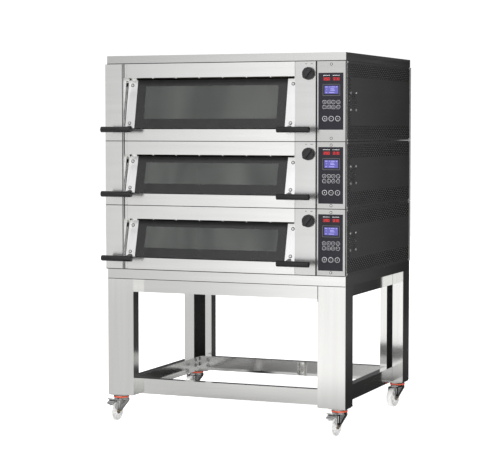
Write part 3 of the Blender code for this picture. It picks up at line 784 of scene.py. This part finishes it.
def add_key_sign(bm, place, index, size):
    """A simple sign for a key: a triangle, three bars, a plus, a ring or one bar."""
    kind = index % 5
    reach = size * 0.6
    half = size * 0.08

    def bar(half_x, half_y, y=0.0):
        low, high = (-half_x, y - half_y, PRINT_START), (half_x, y + half_y, PRINT_THICK)
        add_box(bm, low, high, place=place)

    if kind == 0:
        outline = [(-reach, -size * 0.45), (reach, -size * 0.45), (0, size * 0.65)]
        add_prism(bm, place, outline, PRINT_START, PRINT_THICK)
    elif kind == 1:
        for share in (-0.4, 0.0, 0.4):
            bar(reach, half, size * share)
    elif kind == 2:
        bar(reach, half)
        bar(half, reach)
    elif kind == 3:
        add_ring(bm, place, size * 0.55, 2 * half, segments=24)
    else:
        bar(reach, half)


def make_keys(deck):
    bm = bmesh.new()
    for i, (across, down) in enumerate(SMALL_KEYS):
        place = on_keypad(deck, across, down)
        add_ring(bm, place, 0.0092, 0.0009)
        add_key_sign(bm, place, i, 0.0034)
    for i, (across, down) in enumerate(LARGE_KEYS):
        place = on_keypad(deck, across, down)
        add_ring(bm, place, 0.0120, 0.0013)
        add_key_sign(bm, place, (0, 4, 2)[i], 0.0044)
    letters, pitch, width = 6, 0.0058, 0.0032
    for left in (0.024, 0.072):
        for i in range(letters):
            x = left + pitch * i
            add_plate(bm, deck, x, x + width, 0.0108, 0.0138, PRINT_THICK)
    deck_piece(deck, "key_prints", bm, PRINT)


def make_displays(deck):
    windows = bmesh.new()
    digits = bmesh.new()
    for left, text in ((0.024, "250"), (0.0715, "210")):
        add_plate(windows, deck, left, left + 0.034, 0.0210, 0.0365, PRINT_THICK)
        add_digits(digits, deck, text, left + 0.0050, 0.02875)
    deck_piece(deck, "led_windows", windows, RED_WINDOW)
    deck_piece(deck, "led_digits", digits, RED_LIT)
    bezel = bmesh.new()
    for bar in rim_bars(0.022, 0.107, 0.053, 0.107, 0.0016):
        add_plate(bezel, deck, *bar, 0.0004)
    deck_piece(deck, "screen_bezel", bezel, PRINT_GREY)
    screen = bmesh.new()
    add_plate(screen, deck, 0.031, 0.099, 0.061, 0.098, PRINT_THICK)
    deck_piece(deck, "screen", screen, BLUE_LIT)
    marks = bmesh.new()
    for x, down, wide in (
        (0.034, 0.0645, 0.012),
        (0.054, 0.0645, 0.006),
        (0.064, 0.0645, 0.018),
        (0.088, 0.0645, 0.007),
        (0.040, 0.0760, 0.003),
        (0.060, 0.0735, 0.018),
        (0.060, 0.0800, 0.022),
        (0.036, 0.0900, 0.007),
        (0.054, 0.0905, 0.026),
    ):
        add_plate(marks, deck, x, x + wide, down, down + 0.0035, 0.00045, 0.00032)
    deck_piece(deck, "screen_marks", marks, PALE_LIT)


def make_plate_screws(deck):
    bm, rings = bmesh.new(), bmesh.new()
    inset = 0.016
    for z in (deck.top - inset, deck.base + inset):
        place = on_front(PLATE_SCREW_X, z)
        add_screw(bm, place, 0.0046, 0.0022)
        add_dark_ring(rings, place, 0.0050)
    deck_piece(deck, "plate_screws", bm, ZINC)
    # Black rings round the screws: painted shadow.
    deck_piece(deck, "plate_screw_shadows", rings, SHADE_BLACK)


# Side panel


def add_cell(bm, x, y0, y1, z0, z1, centre=None):
    """A patch of sheet across X, plain or round a slot. Its corners are y and z pairs."""
    corners = [(y0, z0), (y1, z0), (y1, z1), (y0, z1)]
    if centre is None:
        bm.faces.new([bm.verts.new((x, y, z)) for y, z in corners])
        return
    y, z = centre
    # Two half circles stand apart by twice the reach; the rim's top and bottom points stay in the middle.
    rim = []
    for across, up in circle(1.0, SLOT_SIDES):
        reach = math.copysign(min(1.0, abs(across) * 100.0), across) * SLOT_REACH
        rim.append(bm.verts.new((x, y + reach + SLOT_RADIUS * across, z + SLOT_RADIUS * up)))
    outer = [bm.verts.new((x, *corner)) for corner in corners]
    middles = [(y1, z), (y, z1), (y0, z), (y, z0)]
    sides = [bm.verts.new((x, *middle)) for middle in middles]
    quarter = SLOT_SIDES // 4
    for k, corner in enumerate((2, 3, 0, 1)):
        arc = [rim[(k * quarter + i) % SLOT_SIDES] for i in range(quarter + 1)]
        bm.faces.new([sides[k], outer[corner], sides[(k + 1) % 4], *arc[::-1]])


def add_row(bm, x, y0, y1, z0, z1, centres):
    """One row of sheet with slots at the given y places, evenly pitched."""
    middle = (z0 + z1) / 2
    edge = y0
    for y in centres:
        start, end = y - SLOT_PITCH / 2, y + SLOT_PITCH / 2
        if start - edge > 1e-5:
            add_cell(bm, x, edge, start, z0, z1)
        add_cell(bm, x, start, end, z0, z1, (y, middle))
        edge = end
    if y1 - edge > 1e-5:
        add_cell(bm, x, edge, y1, z0, z1)


def make_side_panel(deck):
    """A pan with a slotted band along its top and bottom, a column down its front and a fan field."""
    bm = bmesh.new()
    x = DECK_HALF + 0.0006
    y0, y1 = FACE_Y + PANEL_FRONT, FACE_Y + PANEL_REAR
    z0, z1 = deck.base + 0.0009, deck.top - 0.0009
    rows = int((z1 - z0 - 2 * PANEL_MARGIN) / SLOT_ROW)
    margin = (z1 - z0 - rows * SLOT_ROW) / 2
    columns = int((y1 - y0 - 2 * PANEL_MARGIN) / SLOT_PITCH)
    add_cell(bm, x, y0, y1, z0, z0 + margin)
    add_cell(bm, x, y0, y1, z1 - margin, z1)
    for row in range(rows):
        low = z0 + margin + row * SLOT_ROW
        first = y0 + PANEL_MARGIN + SLOT_PITCH / 2 + (row % 2) * SLOT_PITCH / 2
        places = [first + SLOT_PITCH * i for i in range(columns)]
        if BAND_ROWS <= row < rows - BAND_ROWS:
            places = [y for i, y in enumerate(places) if keeps_hole(deck, i, y, low + SLOT_ROW / 2)]
        places = [y for y in places if y < y1 - PANEL_MARGIN]
        add_row(bm, x, y0, y1, low, low + SLOT_ROW, places)
    bmesh.ops.remove_doubles(bm, verts=bm.verts, dist=0.00002)
    panel = deck_piece(deck, "perforated_panel", bm, SIDE, bend=0)
    solid = panel.modifiers.new("sheet", "SOLIDIFY")
    solid.thickness = SHEET
    solid.offset = -1.0
    folds = bmesh.new()
    fold_depth, inset = 0.010, 0.0025
    for a0, a1, b0, b1 in rim_bars(y0, y1, z0 + inset, z1 - inset, SHEET):
        add_box(folds, (x - fold_depth, a0, b0), (x - SHEET, a1, b1))
    deck_piece(deck, "panel_folds", folds, SIDE)
    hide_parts("right_side_panel_" + deck.name)


def make_posts(deck):
    """The dull edge strips of the casing in front of the side panel and behind it."""
    bm = bmesh.new()
    z0, z1 = deck.base + 0.0008, deck.top - 0.0008
    for near, far in ((0.0130, PANEL_FRONT - GAP), (PANEL_REAR + GAP, 1.0445)):
        add_box(bm, (DECK_HALF + 0.00005, FACE_Y + near, z0), (DECK_HALF + 0.0006, FACE_Y + far, z1), 0.0002)
    deck_piece(deck, "casing_posts", bm, POST)
    # A black strip in the gap between the control plate's fold and the front post: painted shade.
    seal = bmesh.new()
    add_box(seal, (DECK_HALF + 0.00005, FACE_Y + 0.0082, z0), (DECK_HALF + 0.0004, FACE_Y + 0.0130, z1))
    deck_piece(deck, "plate_fold_shadow", seal, SHADE_BLACK)


def keeps_hole(deck, column, y, z):
    """Between the bands only the front column and a round field over the fan are punched."""
    fan = math.hypot(y - FACE_Y - FAN_DEPTH, z - deck.middle)
    return column == 0 or fan < FAN_SPACING / 2


def make_panel_screws(deck):
    bm = bmesh.new()
    y0, y1 = FACE_Y + PANEL_FRONT, FACE_Y + PANEL_REAR
    z0, z1 = deck.base + 0.0065, deck.top - 0.0065
    corners = [(y, z) for y in (y0 + 0.0050, y1 - 0.0050) for z in (z0, z1)]
    half = FAN_SPACING / 2
    fan = [(FACE_Y + FAN_DEPTH + dy, deck.middle + dz) for dy in (-half, half) for dz in (-half, half)]
    for places, radius, height in ((corners, 0.0044, 0.0030), (fan, 0.0056, 0.0034)):
        for y, z in places:
            add_screw(bm, upright((DECK_HALF, y, z), (1, 0, 0)), radius, height)
    deck_piece(deck, "panel_screws", bm, PALE_ZINC)


def make_fan(deck):
    """A square cooling fan behind the panel."""
    bm = bmesh.new()
    y, z = FACE_Y + FAN_DEPTH, deck.middle
    back, front = DECK_HALF - 0.030, DECK_HALF - SHEET - 0.001
    place = upright((back, y, z), (1, 0, 0))
    depth = front - back
    half, wall = 0.0455, 0.003
    for x0, x1, y0, y1 in rim_bars(-half, half, -half, half, wall):
        add_box(bm, (x0, y0, 0), (x1, y1, depth), 0.0008, place=place)
    hub, cap, blades, pitch = 0.017, depth - 0.002, 7, 0.6
    add_lathe(bm, place, [(hub, 0.002), (hub, cap - 0.002), (hub - 0.002, cap), (0, cap)], 40)
    for i in range(blades):
        blade = place @ Matrix.Rotation(FULL_TURN * i / blades, 4, "Z") @ Matrix.Rotation(pitch, 4, "X")
        add_box(bm, (0.015, -0.008, 0.010), (0.040, 0.008, 0.0115), 0.0004, place=blade)
    deck_piece(deck, "cooling_fan", bm, FAN_GREY)


# Inside the chamber


def make_elements(deck):
    """A heating rod that winds to and fro under the roof."""
    bm = bmesh.new()
    rod, drop, clearance = 0.0042, 0.0085, 0.040
    z = deck.header + ROOF_RISE - drop
    half, radius = CHAMBER_HALF - clearance, 0.030
    passes, first, pitch, steps = 11, 0.150, 0.060, 8
    path = []
    for i in range(passes):
        y = FACE_Y + first + pitch * i
        way = 1 if i % 2 == 0 else -1
        path += [(DOOR_X - way * (half - radius), y, z), (DOOR_X + way * (half - radius), y, z)]
        if i < passes - 1:
            for k in range(1, steps):
                turn = math.pi * k / steps
                across = half - radius + radius * math.sin(turn)
                path.append((DOOR_X + way * across, y + radius - radius * math.cos(turn), z))
    add_tube(bm, path, rod, 10)
    deck_piece(deck, "heating_element", bm, ELEMENT)


def make_lamp(deck):
    """A round lamp glass in the rear wall, in a clamped ring."""
    bm = bmesh.new()
    right, up, clamps, clamp_ring = 0.330, 0.015, 3, 0.031
    place = on_front(DOOR_X + right, deck.middle + up, CHAMBER_REAR - SHEET)
    ring = [(0.030, 0.0), (0.034, 0.0), (0.034, 0.004), (0.029, 0.006), (0.026, 0.0045)]
    ring += [(0.022, 0.0035), (0.012, 0.0062), (0, 0.0070)]
    add_lathe(bm, place, ring, 48)
    for x, y in circle(clamp_ring, clamps, 0.5):
        add_screw(bm, place @ Matrix.Translation((x, y, 0.0045)), 0.0026, 0.0018)
    deck_piece(deck, "lamp", bm, ZINC)


# Seams


def make_seam_shadows():
    """Black strips along the seams, wider than the gaps, as painted shadow lines: between the decks, under
    cover and band, by the pillar and a leg. Beside the pillar line a grey strip is painted shade in the
    groove.
    """
    lines, grooves = bmesh.new(), bmesh.new()
    proud, sunk, end = 0.0003, 0.0002, 0.0005
    front, back = FACE_Y - proud, FACE_Y + sunk
    for deck in DECKS:
        z0, z1 = deck.base - 0.0018, deck.base + 0.0018
        add_box(lines, (end - DECK_HALF, front, z0), (DECK_HALF - end, FACE_Y + 0.0030, z1))
        z0, z1 = deck.base + 0.0020, deck.top - 0.0020
        add_box(lines, (PILLAR_EDGE - 0.0090, front, z0), (PILLAR_EDGE - 0.0056, back, z1))
        add_box(grooves, (PILLAR_EDGE - 0.0055, front, z0), (PILLAR_EDGE - 0.0010, back, z1))
    # A grey strip beside the pillar: painted shade in the groove.
    piece("pillar_groove_shade", grooves, GREY_ZINC, "oven_body")

    front, back = front + STAND_FRONT, back + STAND_FRONT
    band_low, band_high = DECKS_Z - 0.0516, DECKS_Z - 0.0486
    beam_low = DECKS_Z - 0.126
    leg_edge = STAND_HALF - LEG_WIDTH
    add_box(lines, (leg_edge - 0.0003, front, beam_low), (leg_edge + 0.0030, back, band_low))
    add_box(lines, (end - STAND_HALF, front, band_low), (STAND_HALF - end, back, band_high))
    top = DECKS[-1].top
    half, cover = DECK_HALF - 0.0035, FACE_Y + STAND_FRONT
    add_box(lines, (-half, cover - 0.0012, top - 0.0024), (half, cover - 0.0002, top + 0.0028))
    # Black strips in the seams: painted shadow lines.
    piece("seam_shadow_lines", lines, SHADE_BLACK, "oven_body")


# Stand and castors


def make_leg_shades():
    """A dark sheet on the inside of the rear legs' back walls: painted shade inside the hollow legs."""
    wall = FACE_Y + STAND_REAR - SHEET
    edge = 2 * SHEET
    for name, left in (("left", -STAND_HALF), ("right", STAND_HALF - LEG_WIDTH)):
        bm = bmesh.new()
        low = (left + edge, wall - 0.0006, LEG_BOTTOM + 0.006)
        high = (left + LEG_WIDTH - edge, wall - 0.0003, DECKS_Z - 0.056)
        add_box(bm, low, high)
        piece("leg_shade_rear_" + name, bm, LEG_SHADE, "oven_body")


def make_frame_bolts():
    """Hexagon bolts that hold the lower rails to the legs, seen from inside."""
    bm = bmesh.new()
    in_side_rail, in_leg = 0.090, 0.018
    z_levels = (LEG_BOTTOM + 0.022, LEG_BOTTOM + 0.052)
    inner_x = STAND_HALF - RAIL_INSET_X - GAP - SHEET
    front = STAND_FRONT + LEG_RETURN + GAP + SHEET
    rear = STAND_REAR - LEG_RETURN - GAP - SHEET
    for z in z_levels:
        for side in (-1, 1):
            for depth in (STAND_FRONT + in_side_rail, STAND_REAR - in_side_rail):
                add_hex_bolt(bm, upright((side * inner_x, FACE_Y + depth, z), (-side, 0, 0)))
            x = side * (STAND_HALF - LEG_WIDTH + in_leg)
            add_hex_bolt(bm, upright((x, FACE_Y + front, z), (0, 1, 0)))
            add_hex_bolt(bm, upright((x, FACE_Y + rear, z), (0, -1, 0)))
    piece("frame_bolts", bm, PALE_ZINC, "oven_body")


def make_rail_bracket():
    """A small folded clip on the inside of the rear rail."""
    bm = bmesh.new()
    rear = FACE_Y + STAND_REAR - LEG_RETURN - 2 * GAP - SHEET
    z0, z1 = LEG_BOTTOM + 0.004, LEG_BOTTOM + LOWER_RAIL_HEIGHT - 0.004
    x, half, sheet, depth, soft = 0.048, 0.020, 0.0022, 0.0217, 0.0005
    add_box(bm, (x - half, rear - sheet, z0), (x + half, rear, z1), soft)
    for side in (-1, 1):
        low, high = sorted((x + side * half, x + side * (half - sheet)))
        add_box(bm, (low, rear - depth, z0), (high, rear, z1), soft)
    piece("rail_bracket", bm, ZINC, "oven_body")


def swivel_place(corner):
    side = -1 if corner.endswith("left") else 1
    depth = STAND_REAR - SWIVEL_INSET if corner.startswith("rear") else STAND_FRONT + SWIVEL_INSET
    return Matrix.Translation((side * SWIVEL_X, FACE_Y + depth, 0))


def fork_place(corner):
    """The swivel's frame, turned with the fork. The fork trails along -Y."""
    return swivel_place(corner) @ Matrix.Rotation(-SWIVEL_TURN, 4, "Z")


def castor_piece(corner, name, bm, material, body="fork"):
    """A finished metal piece laid out in the fork's frame."""
    piece(name + "_" + corner, bm, material, body + "_" + corner, fork_place(corner))


def make_wheel(corner):
    """A white wheel with a rounded tread, a dished and ribbed web and a long hub."""
    bm = bmesh.new()
    place = upright((0, 0, 0), (1, 0, 0))
    right = [(0.0058, 0.0152), (0.0125, 0.0152), (0.0132, 0.0146), (0.0150, 0.0066), (0.0355, 0.0060)]
    right += [(0.0385, 0.0128), (0.0395, 0.0136), (0.0450, 0.0140), (0.0478, 0.0122), (0.0492, 0.0090)]
    right += [(0.0498, 0.0050), (WHEEL_RADIUS, 0.0)]
    profile = right + [(r, -along) for r, along in reversed(right[:-1])]
    add_turned_ring(bm, place, profile, 96)
    ribs = 8
    for i in range(ribs):
        for side in (-1, 1):
            rib = place @ Matrix.Rotation(FULL_TURN * i / ribs, 4, "Z")
            along = sorted((side * 0.0055, side * 0.0105))
            add_box(bm, (0.0140, -0.0010, along[0]), (0.0370, 0.0010, along[1]), 0.0004, place=rib)
    at = fork_place(corner) @ Matrix.Translation((0, -TRAIL, WHEEL_RADIUS))
    wheel = piece("wheel_" + corner, bm, NYLON, "wheel_" + corner, at)
    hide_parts("castor_wheel_" + corner)


def make_seal(corner):
    """The orange ring round the swivel bearing."""
    bm = bmesh.new()
    profile = [(0.0372, 0.1138), (0.0384, 0.1143), (0.0390, 0.1156), (0.0390, 0.1195), (0.0384, 0.1212)]
    profile += [(0.0372, 0.1217)]
    add_turned_ring(bm, Matrix.Identity(4), profile, 64)
    piece("swivel_seal_" + corner, bm, SEAL, "oven_body", place=swivel_place(corner))


def make_fork_edges(corner):
    """Rolled edges and a pressed rib on both cheeks of the fork, in a lighter chrome than the fork as painted
    highlight.
    """
    bm = bmesh.new()
    for side in (-1, 1):
        x = side * 0.0216
        for path in (
            ((-0.0596, 0.1055), (-0.0596, 0.0950), (-0.0590, 0.0500)),
            ((0.0350, 0.1055), (0.0350, 0.0950), (-0.0335, 0.0470)),
            ((-0.0440, 0.1000), (-0.0460, 0.0680)),
            ((-0.0020, 0.0990), (-0.0260, 0.0740)),
        ):
            add_tube(bm, [(x, y, z) for y, z in path], 0.0021)
    castor_piece(corner, "fork_edges", bm, CHROME_HIGHLIGHT)
    webs = bmesh.new()
    for low, high in ((-0.0215, -0.0207), (0.0207, 0.0215)):
        add_prism(webs, SIDEWAYS, [(-0.0290, 0.0640), (0.0200, 0.1020), (-0.0290, 0.1020)], low, high, 0.0003)
    castor_piece(corner, "fork_webs", webs, GREY_ZINC)


def make_pedal_treads(corner):
    """The ribbed plates on the two toes of a brake pedal."""
    bm = bmesh.new()
    upper = [(-0.0660, 0.1077), (-0.0855, 0.1145), (-0.0862, 0.1162), (-0.0665, 0.1094)]
    lower = [(-0.0680, 0.1046), (-0.0930, 0.0912), (-0.0938, 0.0928), (-0.0688, 0.1062)]
    for outline in (upper, lower):
        add_prism(bm, SIDEWAYS, outline[::-1], -0.022, 0.022, 0.0004)
    ribs = bmesh.new()
    for start, end in ((0.0688, 0.1070), (0.0936, 0.0936)), ((0.0668, 0.1102), (0.0858, 0.1168)):
        for i in range(3):
            share = i / 2
            y = -(start[0] + (end[0] - start[0]) * share)
            z = start[1] + (end[1] - start[1]) * share
            add_tube(ribs, [(-0.021, y, z), (0.021, y, z)], 0.0013, 8)
    castor_piece(corner, "pedal_treads", bm, GREY_ZINC, "pedal")
    castor_piece(corner, "pedal_ribs", ribs, PALE_ZINC, "pedal")


def make_axle_bolt(corner):
    """Bolt head and nut on the fork's cheeks."""
    bm = bmesh.new()
    for side in (-1, 1):
        place = upright((side * 0.0212, -TRAIL, WHEEL_RADIUS), (side, 0, 0))
        add_hex_bolt(bm, place, 0.0068, 0.0052)
    castor_piece(corner, "axle_bolt", bm, BRONZE)


# Stage


def emissive(name, colour, strength):
    material = bpy.data.materials.new(name)
    material.use_nodes = True
    tree = material.node_tree
    tree.nodes.remove(tree.nodes["Principled BSDF"])
    glow = new_node(tree, "Emission", {"Color": (*colour, 1.0), "Strength": strength})
    tree.links.new(glow.outputs[0], tree.nodes["Material Output"].inputs["Surface"])
    return material


def add_to_stage(name, bm, material, unseen_by, z=0.0):
    """A part of the studio that the named kinds of ray pass by."""
    obj = mesh_object(name, bm, material)
    obj.location.z = z
    for ray in unseen_by:
        setattr(obj, "visible_" + ray, False)


def bearing(tree, axes):
    """The angle from straight ahead or straight behind, below zero on the left."""
    depth = new_node(tree, "Math", {0: axes["Y"]}, operation="ABSOLUTE")
    return worked(tree, "ARCTAN2", axes["X"], depth.outputs[0])


def make_backdrop():
    """A white surround that only the camera sees."""
    bm = bmesh.new()
    bmesh.ops.create_uvsphere(bm, u_segments=48, v_segments=24, radius=40.0)
    white = emissive("backdrop_white", (1.0, 1.0, 1.0), 1.05)
    add_to_stage("backdrop", bm, white, ("diffuse", "glossy", "transmission", "volume_scatter", "shadow"))


def make_disc(name, material, radius, z, unseen_by):
    bm = bmesh.new()
    bmesh.ops.create_circle(bm, cap_ends=True, segments=96, radius=radius)
    add_to_stage(name, bm, material, unseen_by, z)


def make_floor():
    """A pale floor that fades into the white surround."""
    paint = Paint("pale_floor", (0.90, 0.90, 0.90), 0.7)
    paint.tint(paint.noise(2.0, 4.0), (0.88, 0.88, 0.88), (0.92, 0.92, 0.92))
    paint.set("Emission Color", (1.0, 1.0, 1.0, 1.0))
    paint.set("Emission Strength", 0.75)
    make_disc("floor", paint.material, 14.0, -0.0005, ("glossy",))


def make_mirrored_floor():
    """The floor that the steel mirrors: light ahead, dark beside and behind it, and dimmer under the oven,
    where the oven's shadow is painted on it.
    """
    glow = emissive("studio_floor", (1.0, 0.995, 0.985), 1.0)
    tree = glow.node_tree
    axes = axes_of(tree, "Object")
    place = coordinate(tree, "Object")
    distance = new_node(tree, "VectorMath", {0: place}, operation="LENGTH").outputs["Value"]

    # Painted shadow of the oven: dim under it, less so towards its right side, lifting between 1.0 and 1.35 m
    # from the middle.
    shade = stepped(tree, axes["X"], (-0.60, 0.35, 0.10, 0.60))
    outside = stepped(tree, distance, (1.00, 1.35, 0.0, 0.66))
    under = worked(tree, "MAXIMUM", shade, outside)
    far = stepped(tree, distance, (1.15, 2.60, 0.0, 1.0))
    middle = stepped(tree, bearing(tree, axes), (math.radians(-26), math.radians(-12), 0.0, 0.46))
    beside = stepped(tree, axes["X"], (0.55, 0.75, 1.0, 0.04))
    ahead = stepped(tree, axes["Y"], (-0.70, -0.45, 1.0, 0.0))
    right = worked(tree, "MAXIMUM", beside, ahead)
    behind = stepped(tree, axes["Y"], (0.35, 1.05, 1.0, 0.05))
    light = worked(tree, "ADD", under, worked(tree, "MULTIPLY", far, middle))
    light = worked(tree, "MULTIPLY", light, worked(tree, "MINIMUM", right, behind))
    tree.links.new(light, tree.nodes["Emission"].inputs["Strength"])
    make_disc("mirrored_floor", glow, 9.0, -0.004, ("camera", "diffuse", "shadow"))


def make_side_card():
    """A dark card to the right of the oven, a little lighter towards its front end."""
    bm = bmesh.new()
    x, y0, y1, z0, z1 = 1.75, -1.2, 9.0, -0.5, 5.0
    bm.faces.new([bm.verts.new((x, y, z)) for y, z in ((y0, z0), (y1, z0), (y1, z1), (y0, z1))])
    material = emissive("side_card_dark", (1.0, 1.0, 1.0), 1.0)
    tree = material.node_tree
    light = stepped(tree, axes_of(tree, "Object")["Y"], (2.4, 4.5, 0.074, 0.020))
    tree.links.new(light, tree.nodes["Emission"].inputs["Strength"])
    add_to_stage("side_card", bm, material, ("camera", "shadow", "diffuse"))


def make_world():
    """White in front, most of all on the far left and ahead, less overhead and dim behind."""
    world = bpy.data.worlds.new("studio")
    bpy.context.scene.world = world
    world.use_nodes = True
    tree = world.node_tree
    axes = axes_of(tree, "Generated")
    turn = bearing(tree, axes)

    level = stepped(tree, axes["Y"], (-0.55, 0.25, 1.05, 0.10))
    overhead = stepped(tree, axes["Z"], (0.30, 0.52, 0.0, 0.55))
    front = worked(tree, "MAXIMUM", level, overhead)
    sky = stepped(tree, axes["Z"], (0.20, 0.55, 1.0, 1.60))
    low = stepped(tree, axes["Z"], (-0.05, 0.045, 1.20, 0.90))
    zone = stepped(tree, turn, (math.radians(-31), math.radians(-16), 0.49, 1.08))
    far_left = stepped(tree, turn, (math.radians(-62), math.radians(-38), 1.6, 1.0))
    ahead = stepped(tree, turn, (math.radians(-12), math.radians(2), 1.0, 0.72))
    light = front
    for factor in (sky, low, zone, far_left, ahead):
        light = worked(tree, "MULTIPLY", light, factor)
    tree.nodes["Background"].inputs["Color"].default_value = (1.0, 1.0, 1.0, 1.0)
    tree.links.new(light, tree.nodes["Background"].inputs["Strength"])


def make_lights():
    """A large soft key from the front left and a smaller fill."""
    for name, place, size, power in (
        ("key", (-3.2, -5.0, 4.0), 3.0, 260.0),
        ("fill", (3.5, -5.5, 2.5), 2.5, 60.0),
    ):
        data = bpy.data.lights.new(name, "AREA")
        data.size = size
        data.energy = power
        light = new_object(name, data)
        light.matrix_world = upright(place, Vector(place) - Vector((0, 0, 1.0)))
        light.visible_glossy = False


def make_camera():
    data = bpy.data.cameras.new("camera")
    data.lens = 121.13
    data.sensor_width = 36.0
    camera = new_object("camera", data)
    camera.location = (3.198, -7.925, 1.468)
    camera.rotation_euler = (math.radians(90 - 3.35), 0.0, math.radians(22.3))
    bpy.context.scene.camera = camera


def make_door(deck):
    make_glass_border(deck)
    make_door_screws(deck)
    make_handle(deck, -1, "left_handle")
    make_handle(deck, 1, "right_handle")
    make_header_screws(deck)


def make_controls(deck):
    make_knob(deck)
    make_damper_marks(deck)
    make_keys(deck)
    make_displays(deck)
    make_plate_screws(deck)


def make_side(deck):
    make_side_panel(deck)
    make_posts(deck)
    make_panel_screws(deck)
    make_fan(deck)


def main():
    paint_frame()
    for deck in DECKS:
        make_door(deck)
        make_controls(deck)
        make_side(deck)
        make_elements(deck)
        make_lamp(deck)
    make_leg_shades()
    make_seam_shadows()
    make_frame_bolts()
    make_rail_bracket()
    for corner in CORNERS:
        make_wheel(corner)
        make_seal(corner)
        make_axle_bolt(corner)
        make_fork_edges(corner)
        if corner.startswith("front"):
            make_pedal_treads(corner)
    make_backdrop()
    make_floor()
    make_mirrored_floor()
    make_side_card()
    make_world()
    make_lights()
    make_camera()
    bpy.context.scene.view_settings.view_transform = "Standard"


main()
